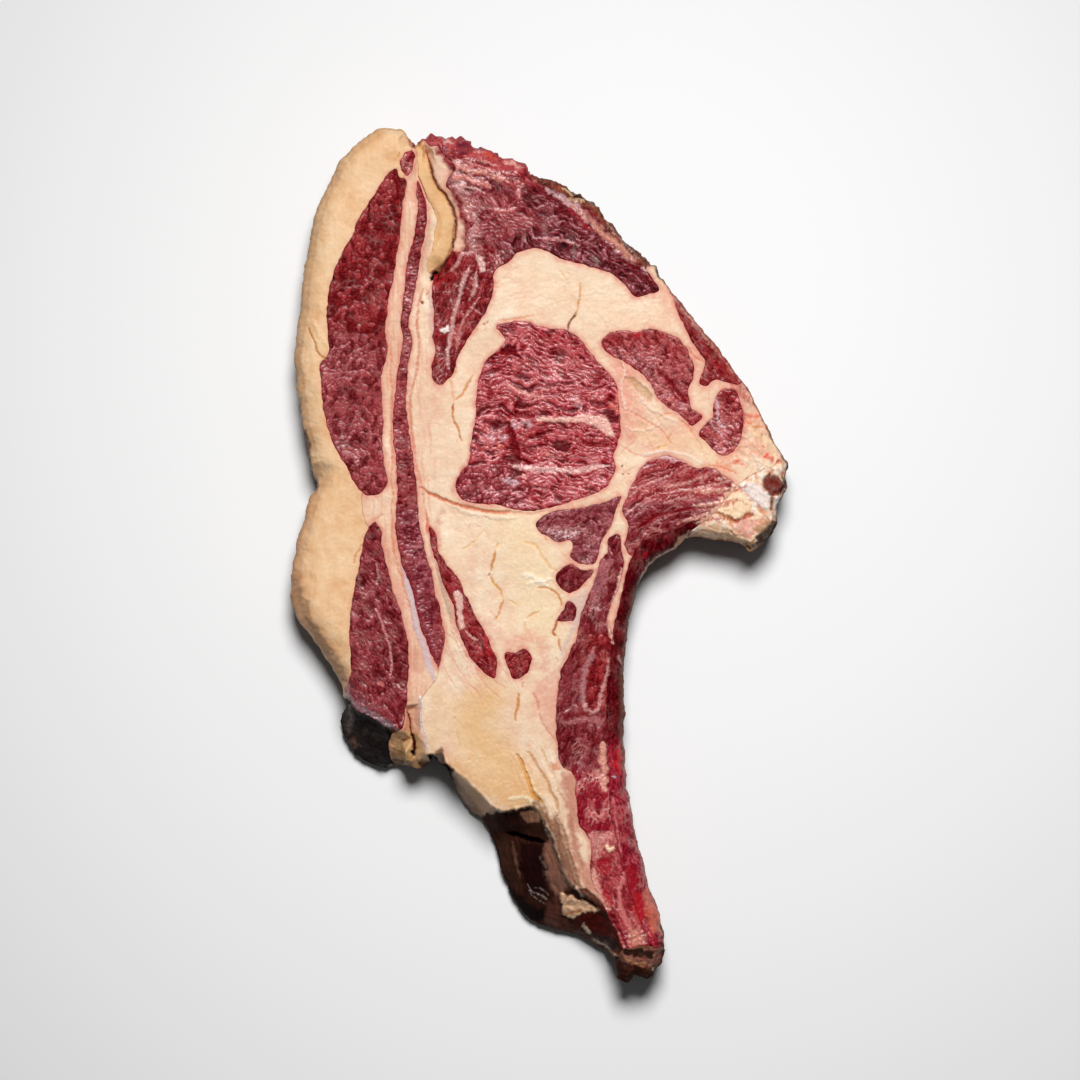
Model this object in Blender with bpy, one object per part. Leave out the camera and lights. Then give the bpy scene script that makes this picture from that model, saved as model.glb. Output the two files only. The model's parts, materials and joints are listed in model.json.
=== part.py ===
"""A raw, aged, bone-in beef rib steak that lies flat with its cut face up.

The slab is drawn in plan first. Its silhouette and the outlines of its muscles, fat and bone are
smooth closed curves, in millimetres seen from above, with +Y towards the thick end. One
triangulation of all the curves splits the slab into pieces that meet along shared lines. Each
piece then runs through the thickness, under one rounded, broken and grooved top surface.
"""

import math
from collections import defaultdict
from typing import NamedTuple

import bpy
import numpy as np
from mathutils import Vector, geometry

MM = 0.001

# Driving dimensions, in millimetres
THICKNESS = 35.0
GAP = 0.36
RIB_BONE_TOP = 15.0

# How the flat cut face gives: muscles sag inside their rims, and the whole face swells unevenly
FLESH_SAG = 0.7
FLESH_SAG_REACH = 5.0
SWELL = 0.45
SWELL_LENGTH = 46.0
SWELL_SEED = 3

# The broken slopes: a short lip under the crest, then a bowed fall with rough swells
LIP_REACH = 1.2
SLOPE_BOW = 0.9
BROKEN_SWELL = 1.3
BROKEN_REACH = 3.0
BROKEN_LENGTH = 13.0
BROKEN_SEED = 5

# The outer edge rounds off by at most a share of the height, over a wall with rings of corners
MOST_DROP = 0.5
WALL_LEVELS = (0.7, 0.36, 0.0)
WALL_BOW = 1.6
WALL_ROUGHNESS = 0.6
WALL_PHASE = 2.4
WALL_RIPPLE = 6.0
WALL_ROOM = 0.4

# How the plan is cut into triangles, in millimetres
CURVE_STEP = 5.2
MERGE_WITHIN = 0.9
EDGE_ROWS = (0.14, 0.45, 1.0)
ROUNDED_DROP = 8.0
CREST_ROW = 1.3
CREVICE_ROW = (2.6, 0.6)
ROW_CLEARANCE = 1.0
ROW_APART = 2.2
GRID_STEP = 6.4
GRID_CLEARANCE = 2.7
GRID_APART = 4.0

# Where two gap lines meet, nearly straight corners are averaged and sharp ones are cut short
STRAIGHT_COSINE = 0.98
LONGEST_MITRE = 1.5


class Stretch(NamedTuple):
    """A length of the silhouette.

    The top rounds down by DROP over REACH, the wall comes in by UNDERCUT at the foot, and CRAG is
    how rough the wall is.
    """

    points: tuple
    drop: float
    reach: float
    undercut: float
    crag: float


# The silhouette, clockwise from the notch in the left side
SILHOUETTE = {
    "upper_fat_side": Stretch(
        ((-100.2, 31), (-102, 35.5), (-103.6, 41), (-105, 48), (-107.2, 58), (-108.9, 70),
         (-110.2, 82), (-110.9, 92), (-109.4, 101), (-108.2, 112), (-106.8, 126), (-104.5, 140),
         (-102, 152), (-98.4, 161.5), (-94.2, 170), (-89.1, 179.5), (-83.6, 185.5), (-77.6, 190),
         (-72.5, 193), (-66.5, 192.5)),
        drop=15, reach=9, undercut=3.0, crag=0.3),
    "top_notch": Stretch(
        ((-61.5, 191.8), (-59.2, 188), (-56, 184.8), (-53.4, 187)),
        drop=7, reach=4, undercut=1.2, crag=0.8),
    "dried_edge": Stretch(
        ((-47.2, 188.8), (-40.5, 187.2), (-34.5, 187.2), (-30.7, 183.6), (-24, 183.2),
         (-18.6, 179.6), (-12.1, 177.8), (-8, 176.6), (-3.8, 170.8), (3.6, 169.9), (10.3, 167.3),
         (17.4, 162.6), (24.4, 158.2), (31, 150.8), (38.8, 140.7), (46, 134.4), (51.3, 129.5),
         (58.5, 120), (66, 111), (74.9, 100.2), (83.4, 89.5), (89, 81.3), (94.6, 74), (98.6, 65),
         (104, 55), (108, 47.3)),
        drop=5, reach=4, undercut=2.2, crag=1.5),
    "chine_edge": Stretch(
        ((112.4, 40.5), (111, 35), (111.2, 29.5), (107.8, 23), (106.8, 14.5), (103.2, 7.5),
         (98.6, 3.2), (94.6, 1.7), (90.8, 5), (84, 6.7)),
        drop=9, reach=5, undercut=2.0, crag=1.8),
    "rib_bay": Stretch(
        ((75, 7.7), (66.1, 7.8), (60.6, 3), (53.2, -1.2), (48.6, -6.3), (44.9, -12.5),
         (43, -19.5), (40.6, -27), (39.4, -36), (38.2, -47), (37.6, -58.7), (38.3, -70.2),
         (37.8, -82), (39, -97.7), (40.7, -111), (43.5, -126.9), (46.9, -139.5), (50.1, -152.2),
         (54, -162)),
        drop=12, reach=8, undercut=1.5, crag=0.8),
    "rib_tip_edge": Stretch(
        ((55.8, -171), (55.6, -182.4), (51.4, -187.8), (48.6, -191.2), (43.2, -189.6),
         (39.4, -192.3), (35.5, -190.5), (34.6, -182.5)),
        drop=10, reach=6, undercut=2.0, crag=1.6),
    "torn_side": Stretch(
        ((28.5, -178.4), (19.9, -173.6), (10.9, -170.4), (2.5, -168.4), (-5.5, -164.2),
         (-12, -155.3), (-16.4, -145), (-19.6, -134.6), (-23, -124.5)),
        drop=3, reach=3, undercut=1.0, crag=1.2),
    "slab_side": Stretch(
        ((-27, -119.6), (-32.3, -115.5), (-37, -108.6), (-39.4, -102.6), (-43.2, -97.4),
         (-49.6, -93.6)),
        drop=4, reach=3, undercut=1.0, crag=0.8),
    "lump_side": Stretch(
        ((-54.8, -96.4), (-60, -96), (-65.4, -95.6)),
        drop=17, reach=8, undercut=2.0, crag=0.6),
    "crust_side": Stretch(
        ((-71, -96.4), (-77.6, -94.4), (-84, -89.7), (-88.2, -83), (-89.9, -75), (-88.8, -67)),
        drop=4, reach=3, undercut=1.6, crag=1.2),
    "lower_fat_side": Stretch(
        ((-89.2, -60), (-93.4, -51.5), (-99.3, -42.4), (-104, -35.8), (-109.2, -29.6),
         (-111.6, -22.5), (-112.2, -13), (-111.4, -3), (-109, 8.4), (-106, 18.4), (-103.3, 27)),
        drop=16, reach=11, undercut=3.5, crag=0.3),
}

# Where the flat top face ends short of the silhouette, and the surface breaks down to its foot
CRUST_CREST = ((-86, -67.3), (-80, -71.3), (-73, -75.2), (-67.6, -78))
TORN_CREST = ((-48.6, -90), (-45.2, -87.6), (-43.4, -88.4), (-42.6, -93.4),
              (-38.6, -97), (-32.3, -101.7), (-25.4, -108.4), (-18, -115), (-10.6, -114.8),
              (-2.3, -113.1), (3, -121), (7, -131), (10.5, -141), (14.5, -148.4),
              (21, -153.4), (27.4, -158.6), (31, -165), (32.4, -172))


class Slope(NamedTuple):
    """Broken ground between a crest and the silhouette.

    CREST and BEYOND together close the loop. The surface drops by LIP at once, and reaches FOOT
    above the underside at the silhouette.
    """

    crest: tuple
    beyond: tuple
    lip: float
    foot: float


SLOPES = (
    Slope(CRUST_CREST, ((-62, -80), (-62, -110), (-110, -110), (-110, -62), (-91, -62.5)),
          lip=5.0, foot=9.0),
    Slope(TORN_CREST, ((33, -185), (33, -210), (-53, -210), (-53, -95)), lip=4.5, foot=8.0),
)


class Groove(NamedTuple):
    """A crease or a crevice in the top surface."""

    points: tuple
    depth: float
    width: float


FOLD_CREVICE = ((-51, 181), (-49.5, 176.2), (-47.6, 169.6), (-42.6, 162.4), (-39.2, 157),
                (-37.5, 150), (-38.6, 140.6), (-42, 132.8), (-46.4, 126.6))

GROOVES = {
    "fold_crevice": Groove(FOLD_CREVICE, depth=6.0, width=1.7),
    "lump_crack": Groove(
        ((-59.4, -70), (-57.8, -79), (-56.7, -87), (-55.2, -93)), depth=7.0, width=1.2),
    "torn_slot": Groove(
        ((-15, -125.7), (-8, -127.4), (3.7, -129.1)), depth=6.0, width=1.8),
    "side_notch": Groove(
        ((-104, 36), (-98.5, 34.6), (-93, 39.5)), depth=5.0, width=1.6),
}

# The fold of fat that dips between two muscles, with the crevice as its right side
FOLD_LEFT = ((-54.6, 192), (-54.6, 183), (-54.6, 176), (-54.1, 170.3), (-52.1, 165),
             (-49.9, 159.8), (-47.8, 155.4), (-46.4, 150.5), (-47, 145), (-48.3, 137),
             (-50.6, 131.4), (-49.6, 127))
FOLD = (*FOLD_LEFT, *reversed(FOLD_CREVICE), (-51.4, 186), (-51.4, 193))
FOLD_RECESS = 3.2
FOLD_MARGIN = 4.0


class Piece(NamedTuple):
    """A region of the plan: what it is made of and its outline, which may reach past the slab."""

    kind: str
    outline: tuple


# Regions of the plan. Where two overlap, the earlier one has the ground.
PIECES = {
    "fat_lump": Piece("fat", (
        (-61.4, -77.3), (-65.2, -79.4), (-67.9, -83.8), (-67.4, -90), (-65.6, -95),
        (-65, -101), (-53.5, -101), (-55.2, -93), (-56.7, -87), (-57.8, -79), (-59.4, -70.6),
        (-60.4, -73.6))),
    "fat_fold": Piece("fat", FOLD),
    "fat_wedge": Piece("fat", (
        (-52.4, 186), (-49.8, 184.5), (-46.2, 183.9), (-43.2, 180.6), (-39.8, 178), (-38.2, 174.4),
        (-41.4, 169.6), (-42, 166.4), (-38.4, 163.4), (-35.2, 159), (-35.8, 152.4),
        (-29.8, 149.6), (-33.2, 146), (-33.6, 141.4), (-31.4, 137.6), (-35.7, 136.4),
        (-40.4, 135.6), (-43.5, 138), (-41.6, 148), (-43.4, 158), (-48.6, 166), (-52.8, 176))),
    "chine_bone": Piece("bone", (
        (65.6, 4), (68.4, 10.8), (73, 14.4), (78, 18.4), (82.4, 24), (86.8, 28.8), (91.4, 33.6),
        (97.4, 37), (104, 39.2), (108.6, 43.4), (114, 47), (121, 38), (117, 12), (101, -4),
        (80, -2))),
    "rib_tip": Piece("bone", (
        (29, -187), (35.2, -180.6), (37.4, -177.2), (42, -176.2), (47.4, -175.6), (53, -176.6),
        (61, -176), (62, -199), (29, -199))),
    "rib_lining": Piece("flesh", (
        (76, 12), (72.2, 15.4), (63, 12.6), (53.2, 9.2), (47.3, 6.2), (42.9, 2.8), (39.9, -3.5),
        (37.8, -12.5), (35.6, -23.6), (33.4, -33), (32.4, -43), (31, -53), (30, -62),
        (30.1, -72), (31.1, -80), (30.6, -89), (31.2, -102.3), (32, -116.1), (34.2, -127),
        (36.6, -138), (40.2, -150), (44, -161), (48, -171), (51, -179), (61, -182), (61, -160),
        (51, -122), (46, -80), (46, -42), (53, -14), (66, 1), (77, 5))),
    "outer_muscle_tip": Piece("flesh", (
        (-57.2, 183), (-56, 179.8), (-57.2, 176), (-57.9, 173), (-60, 171), (-62.5, 173.5),
        (-62.8, 177), (-60.6, 181))),
    "outer_muscle_upper": Piece("flesh", (
        (-64.9, 173.9), (-62.8, 169.9), (-59.9, 167.8), (-60.4, 163), (-62.2, 155), (-62.7, 145),
        (-64.4, 134.9), (-66.3, 123.8), (-68.2, 114), (-69.4, 103), (-68.5, 92), (-71.4, 79.8),
        (-70.7, 66), (-70.7, 46), (-68.8, 32.4), (-72, 27.8), (-78.6, 27.7), (-82.4, 31),
        (-87.3, 40.6), (-92.9, 51), (-96.2, 62), (-98.4, 76.5), (-98.2, 87), (-95.1, 91),
        (-95.6, 101.4), (-95, 118), (-91.2, 131), (-84.6, 143.2), (-82.8, 149), (-78.2, 156.4),
        (-72.9, 164.8), (-68, 172))),
    "outer_muscle_lower": Piece("flesh", (
        (-74.5, 15.2), (-71.6, 11), (-70, 0), (-67.6, -10), (-64.4, -20), (-61.2, -30),
        (-59.5, -40), (-59.3, -52), (-60, -64), (-60.6, -72), (-62, -79), (-63, -90), (-63, -106),
        (-100, -106), (-98, -72), (-89.6, -63), (-86.4, -57.4), (-84.5, -51), (-85.5, -40),
        (-85, -27.9), (-83.3, -14), (-80.8, -2), (-78.9, 7))),
    "strip_muscle": Piece("flesh", (
        (-55.2, 168.1), (-52.6, 163.4), (-50.8, 155), (-51.2, 147), (-53, 138.2), (-55, 126),
        (-56.9, 115), (-58.5, 106), (-57.9, 95), (-59.4, 83.7), (-60.1, 70), (-59.1, 56),
        (-56.8, 43), (-55.1, 29), (-54.2, 15), (-51.4, 2), (-48.4, -10), (-45.6, -22.5),
        (-42.5, -37.4), (-44, -44.6), (-45.6, -50.5), (-50.4, -41), (-54.8, -27), (-57.8, -14.3),
        (-61.7, -4), (-64, 6), (-64.8, 14), (-64, 27.7), (-64.6, 42), (-66, 60), (-64.6, 78),
        (-62.3, 91), (-61.7, 99), (-62.3, 107), (-61.2, 118), (-59.4, 132), (-56.8, 142),
        (-55.3, 149), (-54.9, 158))),
    "cap_muscle": Piece("flesh", (
        (-51, 199), (-50, 187.4), (-47, 178), (-45, 168), (-39, 160), (-38.6, 150), (-36.6, 139.6),
        (-42.6, 134.6), (-46.6, 130), (-47.8, 125.6), (-48.2, 117), (-47.4, 105), (-48, 98),
        (-46.8, 93), (-48.5, 84.6), (-47.4, 78.4), (-44.2, 76.6), (-40.6, 79.6), (-37, 88.6),
        (-33.5, 95.8), (-30, 101), (-24.6, 109), (-20.8, 117.5), (-20, 128), (-14.1, 131.8),
        (-9, 136.6), (-1.4, 138.2), (9.7, 133.6), (19.6, 130.8), (31.3, 127), (38, 122.4),
        (44, 116.4), (49, 117.6), (53.6, 119.8), (51.3, 123.6), (48.6, 128), (48.4, 134),
        (52, 141), (30, 166), (12, 180), (-10, 193), (-35, 201))),
    "rib_eye": Piece("flesh", (
        (-19.3, 103.3), (-13, 105.1), (-6.9, 105.4), (-1.4, 103.4), (5, 101.8), (12, 101),
        (17.2, 98.2), (23, 91), (30.3, 82.2), (34.4, 78), (35.4, 67), (36.6, 57), (34.6, 49),
        (32.8, 44.4), (34.2, 39), (31.4, 33), (25, 28.2), (15.2, 24.8), (5.6, 21.6), (-4.2, 20),
        (-13, 20.8), (-20.7, 23.1), (-29, 23.3), (-34.9, 25.4), (-38, 30.5), (-36.2, 36.4),
        (-32.5, 41.6), (-30.9, 48.8), (-29.3, 58), (-28.3, 70), (-27, 81), (-24, 88.2),
        (-18, 93), (-15.3, 97), (-17.4, 100.4))),
    "upper_seam_muscle": Piece("flesh", (
        (28.1, 95.9), (31.4, 99.8), (38, 101), (43, 100.4), (50, 102), (56, 100.2), (61.8, 97.8),
        (66, 93.4), (68.8, 86.4), (69, 80), (67, 74), (68.8, 66), (72.8, 63.2), (72.6, 61),
        (68.2, 58.2), (62.6, 64), (57, 67.2), (52.6, 72), (49.4, 78), (44, 83), (37, 87.8),
        (31, 91.2))),
    "round_seam_muscle": Piece("flesh", (
        (83, 75.2), (88, 74.2), (90.4, 69), (91.8, 59.5), (89.4, 50), (83, 45), (78.4, 47.2),
        (72, 55), (77.2, 61.6), (78.5, 67.6), (80.4, 72.8))),
    "edge_muscle": Piece("flesh", (
        (60, 117), (61.6, 111), (64.2, 104.5), (67.4, 98.7), (71.4, 92), (74.4, 87), (72.8, 81),
        (72.4, 77.4), (75.2, 76.2), (78.4, 79), (84.6, 77.8), (90, 77), (94, 80), (97, 85),
        (88, 97), (76, 111), (66, 123), (61, 122))),
    "upper_rib_muscle": Piece("flesh", (
        (42.3, 33.3), (45.3, 38.5), (50.4, 43), (57.7, 45), (64, 42.4), (70.4, 39.3), (76.3, 39.6),
        (82.4, 36.4), (88.6, 31.6), (90.6, 28), (83, 19), (73, 9.6), (60, 5), (45, -2),
        (40.4, 0.6), (38.4, 4.6), (39.6, 9.6), (39.4, 14.8), (37.4, 20), (38.8, 25), (40.4, 29))),
    "lower_rib_muscle": Piece("flesh", (
        (35.7, 9.2), (31.2, 7.8), (30.8, 1.5), (27.2, -3), (24.8, -12), (20.8, -21.5),
        (18.3, -29), (17, -36), (14, -42.5), (10.8, -49), (8.6, -57), (7.7, -68), (7.7, -82),
        (9.8, -93.8), (15.4, -99), (16.2, -110), (18, -121), (22.8, -129), (22.6, -141),
        (27, -155), (31.6, -164.4), (36, -173), (40, -184), (48, -181), (47, -168), (42, -150),
        (38, -130), (35, -105), (34.6, -80), (34, -50), (33.4, -37), (30.9, -30), (31.5, -24),
        (34, -18.7), (36.2, -12), (37.4, -5), (36.9, 4))),
    "wedge_muscle": Piece("flesh", (
        (36.6, 26.6), (28.4, 23.4), (18, 21.4), (8.3, 20.1), (3.1, 18), (-1.5, 15.2), (-0.5, 11.4),
        (4.1, 8.1), (8.8, 5.9), (14.2, 7), (15, 3.6), (13.6, -0.8), (18.4, -3.6), (24.8, -3.4),
        (27, 3), (29.6, 10), (32.6, 15.3), (34.6, 21.3))),
    "lower_wedge_muscle": Piece("flesh", (
        (14, -4.2), (9.6, -6.4), (7.3, -9.6), (8.6, -13.8), (13.4, -16.5), (18.4, -14.4),
        (21.6, -11), (23.8, -7.2), (18.4, -6.4))),
    "seam_muscle": Piece("flesh", (
        (13.2, -20.5), (16.4, -23.6), (15.8, -28.2), (11.2, -30), (8.4, -29), (10.6, -24.6))),
    "inner_strip_muscle": Piece("flesh", (
        (-49.1, 12.8), (-46.5, 8.6), (-45.6, 3), (-41.8, -4.4), (-36, -10.8), (-34, -17),
        (-30.7, -23), (-27.6, -30), (-25, -34.5), (-22, -39.6), (-19.6, -46.6), (-20.3, -55.2),
        (-25, -53), (-31.5, -44.8), (-36.4, -34), (-39.4, -21.6), (-42.7, -13.8), (-46.2, -4),
        (-49.2, 6))),
    "hook_muscle": Piece("flesh", (
        (-15.3, -44.3), (-11, -44), (-7.3, -41.9), (-4.2, -44), (-4.2, -49), (-7.2, -54),
        (-11.6, -55.4), (-14.4, -50))),
    "fat_cap": Piece("fat", (
        (-56.4, 197), (-56.8, 184), (-59.5, 176), (-61.4, 169.8), (-66, 160), (-75, 140),
        (-80, 120), (-82, 90), (-82, 60), (-78.4, 34), (-80.4, 26), (-79.4, 18), (-76.4, 10),
        (-76, 0), (-74, -25), (-73, -50), (-82, -60), (-96, -66), (-125, -60), (-126, 60),
        (-124, 160), (-90, 208))),
    "fat_seam": Piece("fat", (
        (-60, 206), (-50, 199), (-52.8, 184), (-52.6, 172), (-50.6, 165), (-49, 161.8),
        (-53.4, 159.6), (-53, 146), (-56.5, 130), (-59.8, 110), (-60.2, 92), (-62.3, 72),
        (-61.8, 50), (-59.4, 20), (-56.4, 0), (-50.5, -25), (-46.4, -43), (-45.8, -50.6),
        (-46.8, -56.4), (-50.4, -61), (-53.4, -66), (-53, -73), (-51.8, -81.6), (-50.6, -90),
        (-50.6, -106), (-64, -106), (-70, -70), (-75, 0), (-85, 20), (-90, 60), (-88, 190))),
}
REMAINDER = "fat_main"
REMAINDER_KIND = "fat"

KIND_COLOURS = {
    "flesh": (0.27, 0.024, 0.036, 1),
    "fat": (0.86, 0.66, 0.44, 1),
    "bone": (0.70, 0.55, 0.45, 1),
}
KIND_ROUGHNESS = {"flesh": 0.38, "fat": 0.5, "bone": 0.65}


def blend(a, b, start, end, t):
    """The point between A, reached at START, and B, reached at END."""
    return (a * (end - t) + b * (t - start)) / (end - start)


def span_points(corners, count):
    """COUNT points from the second corner towards the third, on a centripetal Catmull-Rom span."""
    knots = [0.0]
    for a, b in zip(corners, corners[1:]):
        knots.append(knots[-1] + max(np.linalg.norm(b - a), 1e-6) ** 0.5)
    made = []
    for t in np.linspace(knots[1], knots[2], count, endpoint=False):
        first = [blend(corners[i], corners[i + 1], knots[i], knots[i + 1], t) for i in range(3)]
        second = [blend(first[i], first[i + 1], knots[i], knots[i + 2], t) for i in range(2)]
        made.append(blend(second[0], second[1], knots[1], knots[2], t))
    return made


def smooth_curve(points, closed=True, step=CURVE_STEP):
    """A smooth curve through POINTS, with its own points about STEP apart."""
    points = np.array(points, float)
    if closed:
        ring = np.vstack([points[-1:], points, points[:2]])
    else:
        ring = np.vstack([2 * points[0] - points[1], points, 2 * points[-1] - points[-2]])
    made = []
    for i in range(1, len(ring) - 2):
        count = max(1, round(np.linalg.norm(ring[i + 1] - ring[i]) / step))
        made += span_points(ring[i - 1:i + 3], count)
    if not closed:
        made.append(points[-1])
    return np.array(made)


def distances(points, line, closed):
    """For each point, the distance to LINE and the place along it, in points of LINE."""
    starts = line if closed else line[:-1]
    ends = np.roll(line, -1, axis=0) if closed else line[1:]
    along = ends - starts
    length2 = np.maximum((along ** 2).sum(axis=1), 1e-12)
    offset = points[:, None, :] - starts[None, :, :]
    share = np.clip((offset * along).sum(axis=2) / length2, 0, 1)
    gaps = np.linalg.norm(offset - share[:, :, None] * along, axis=2)
    nearest = gaps.argmin(axis=1)
    rows = np.arange(len(points))
    return gaps[rows, nearest], nearest + share[rows, nearest]


def inside(points, loop):
    """Which of the points lie inside the closed LOOP."""
    x, y = points[:, :1], points[:, 1:]
    x0, y0 = loop[:, 0], loop[:, 1]
    x1, y1 = np.roll(x0, -1), np.roll(y0, -1)
    spans = (y0 > y) != (y1 > y)
    run = np.where(y1 == y0, 1e-12, y1 - y0)
    crossed = x < (x1 - x0) * (y - y0) / run + x0
    return (spans & crossed).sum(axis=1) % 2 == 1


def wave(points, scale, seed):
    """Smooth uneven ground between about -1 and 1, from a few crossed waves."""
    rng = np.random.default_rng(seed)
    total = np.zeros(len(points))
    for _ in range(5):
        heading = rng.uniform(0, math.tau)
        way = np.array([math.cos(heading), math.sin(heading)])
        total += np.sin(points @ way * math.tau / (scale * rng.uniform(0.7, 1.4)) + heading * 3)
    return total / 3.2


class Silhouette:
    """The slab's outer edge in plan, counterclockwise, with each point's edge form."""

    def __init__(self):
        points, forms = [], []
        for stretch in SILHOUETTE.values():
            points += stretch.points
            forms += [stretch[1:]] * len(stretch.points)
        points = points[::-1]
        forms = forms[::-1]
        self.line = smooth_curve(points)
        _, place = distances(self.line, np.array(points, float), True)
        raw = np.array(forms, float)[np.floor(place).astype(int) % len(forms)]
        self.forms = sum(np.roll(raw, shift, axis=0) for shift in (-1, 0, 1)) / 3
        ahead = np.roll(self.line, -1, axis=0) - np.roll(self.line, 1, axis=0)
        ahead = sum(np.roll(ahead, shift, axis=0) for shift in (-1, 0, 1))
        outward = np.stack([ahead[:, 1], -ahead[:, 0]], axis=1)
        self.outward = outward / np.linalg.norm(outward, axis=1, keepdims=True)

    def at(self, points):
        """Each point's distance to the edge, and the edge's form and outward way there."""
        gap, place = distances(points, self.line, True)
        first = np.floor(place).astype(int) % len(self.line)
        share = (place - np.floor(place))[:, None]
        second = (first + 1) % len(self.line)
        form = self.forms[first] * (1 - share) + self.forms[second] * share
        outward = self.outward[first] * (1 - share) + self.outward[second] * share
        return gap, form, outward


def slope_ground(slope):
    """The crest's curve, and the closed loop of the broken ground beyond it."""
    crest = smooth_curve(slope.crest, closed=False)
    return crest, np.vstack([crest, np.array(slope.beyond, float)])


def smooth_step(t):
    t = np.clip(t, 0, 1)
    return t * t * (3 - 2 * t)


def surface_height(points, edge, flesh_gap):
    """The height of the top surface. FLESH_GAP is how far each point is inside a muscle."""
    gap, form, _ = edge.at(points)
    height = THICKNESS + SWELL * wave(points, SWELL_LENGTH, SWELL_SEED)
    height -= FLESH_SAG * smooth_step(flesh_gap / FLESH_SAG_REACH)
    for slope in SLOPES:
        crest, ground = slope_ground(slope)
        from_crest, _ = distances(points, crest, False)
        share = from_crest / np.maximum(from_crest + gap, 1e-6)
        top = height - slope.lip * smooth_step(from_crest / LIP_REACH)
        broken = slope.foot + (top - slope.foot) * (1 - share) ** SLOPE_BOW
        rough = wave(points, BROKEN_LENGTH, BROKEN_SEED)
        broken += BROKEN_SWELL * rough * smooth_step(from_crest / BROKEN_REACH)
        height = np.where(inside(points, ground), broken, height)
    fold = smooth_curve(FOLD)
    from_fold = np.where(inside(points, fold), 0, distances(points, fold, True)[0])
    height -= FOLD_RECESS * smooth_step(1 - from_fold / FOLD_MARGIN)
    for groove in GROOVES.values():
        reach, _ = distances(points, smooth_curve(groove.points, closed=False), False)
        height -= groove.depth * np.exp(-(reach / groove.width) ** 2)
    inward = np.clip(gap / form[:, 1], 0, 1)
    drop = np.minimum(form[:, 0], MOST_DROP * height)
    height -= drop * (1 - np.sqrt(np.maximum(1 - (1 - inward) ** 2, 0)))
    return height


def cdt(points, edges):
    """Constrained Delaunay triangles, with the edges that came from EDGES."""
    vectors = [Vector((float(x), float(y))) for x, y in points]
    verts, made, faces, _, origins, _ = geometry.delaunay_2d_cdt(vectors, edges, [], 0, 1e-5)
    kept = [tuple(edge) for edge, origin in zip(made, origins) if origin]
    return np.array([tuple(v) for v in verts]), kept, [tuple(face) for face in faces]


def merged(points, edges, within):
    """Points closer than WITHIN made one, and the edges that remain."""
    parent = list(range(len(points)))

    def root(i):
        while parent[i] != i:
            i = parent[i]
        return i

    for i in range(len(points)):
        near = np.nonzero(np.linalg.norm(points[i + 1:] - points[i], axis=1) < within)[0]
        for j in near + i + 1:
            parent[max(root(i), root(int(j)))] = min(root(i), root(int(j)))
    roots = [root(i) for i in range(len(points))]
    names = {r: n for n, r in enumerate(sorted(set(roots)))}
    kept = np.array([points[r] for r in sorted(set(roots))])
    links = {tuple(sorted((names[roots[a]], names[roots[b]]))) for a, b in edges}
    return kept, sorted((a, b) for a, b in links if a != b)


def detail_rows(edge, ground):
    """Rows of points along the rounded edges, beside each crest and beside the crevice."""
    rows = []
    _, form, outward = edge.at(edge.line)
    for share in EDGE_ROWS:
        rows.append((edge.line - outward * form[:, 1:2] * share)[form[:, 0] > ROUNDED_DROP])
    for crest, _ in ground:
        ahead = np.gradient(crest, axis=0)
        side = np.stack([-ahead[:, 1], ahead[:, 0]], axis=1)
        side /= np.linalg.norm(side, axis=1, keepdims=True)
        rows += [crest + side * CREST_ROW, crest - side * CREST_ROW]
    crevice = smooth_curve(FOLD_CREVICE, closed=False)
    rows += [crevice + CREVICE_ROW, crevice - np.array(CREVICE_ROW)]
    return rows


def even_grid(low, high):
    """Points in staggered rows over a rectangle."""
    pitch = GRID_STEP * math.sqrt(3) / 2
    grid = []
    for row in range(int((high[1] - low[1]) / pitch) + 1):
        y = low[1] + row * pitch
        shift = GRID_STEP / 2 * (row % 2)
        grid += [(x, y) for x in np.arange(low[0] + shift, high[0], GRID_STEP)]
    return np.array(grid)


def free_points(edge, lines, ground):
    """Points inside the plan, clear of LINES and of each other."""
    groups = [(row, ROW_CLEARANCE, ROW_APART) for row in detail_rows(edge, ground)]
    grid = even_grid(edge.line.min(axis=0), edge.line.max(axis=0))
    groups.append((grid, GRID_CLEARANCE, GRID_APART))
    kept = []
    for points, clearance, apart in groups:
        points = points[inside(points, edge.line)]
        clear = np.full(len(points), np.inf)
        for line, closed in lines:
            clear = np.minimum(clear, distances(points, line, closed)[0])
        for x, y in points[clear > clearance]:
            if all(math.hypot(x - other[0], y - other[1]) > apart for other in kept):
                kept.append((x, y))
    return np.array(kept)


def plan_triangles(edge, outlines):
    """The triangulation of the whole plan, whose edges follow every outline and crest."""
    ground = [slope_ground(slope) for slope in SLOPES]
    lines = [(edge.line, True)] + [(line, True) for line in outlines.values()]
    lines += [(crest, False) for crest, _ in ground]
    points, edges = [], []
    for line, closed in lines:
        first = len(points)
        points += [tuple(p) for p in line]
        count = len(line)
        last = count if closed else count - 1
        edges += [(first + i, first + (i + 1) % count) for i in range(last)]
    points = np.array(points)
    for _ in range(4):
        points, edges, _ = cdt(points, edges)
        points, edges = merged(points, edges, MERGE_WITHIN)
    points = np.vstack([points, free_points(edge, lines, ground)])
    points, _, faces = cdt(points, edges)
    return points, faces


def label_triangles(points, faces, edge, outlines):
    """Each triangle inside the slab with the piece that it belongs to."""
    corners = points[np.array(faces)]
    centres = corners.mean(axis=1)
    labels = np.full(len(faces), REMAINDER, dtype=object)
    for name in reversed(list(outlines)):
        labels[inside(centres, outlines[name])] = name
    labels[~inside(centres, edge.line)] = None
    return labels


def shared_edges(faces):
    """The one or two triangles on each edge."""
    owners = defaultdict(list)
    for n, face in enumerate(faces):
        for i in range(3):
            owners[frozenset((face[i], face[i - 2]))].append(n)
    return owners


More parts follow.
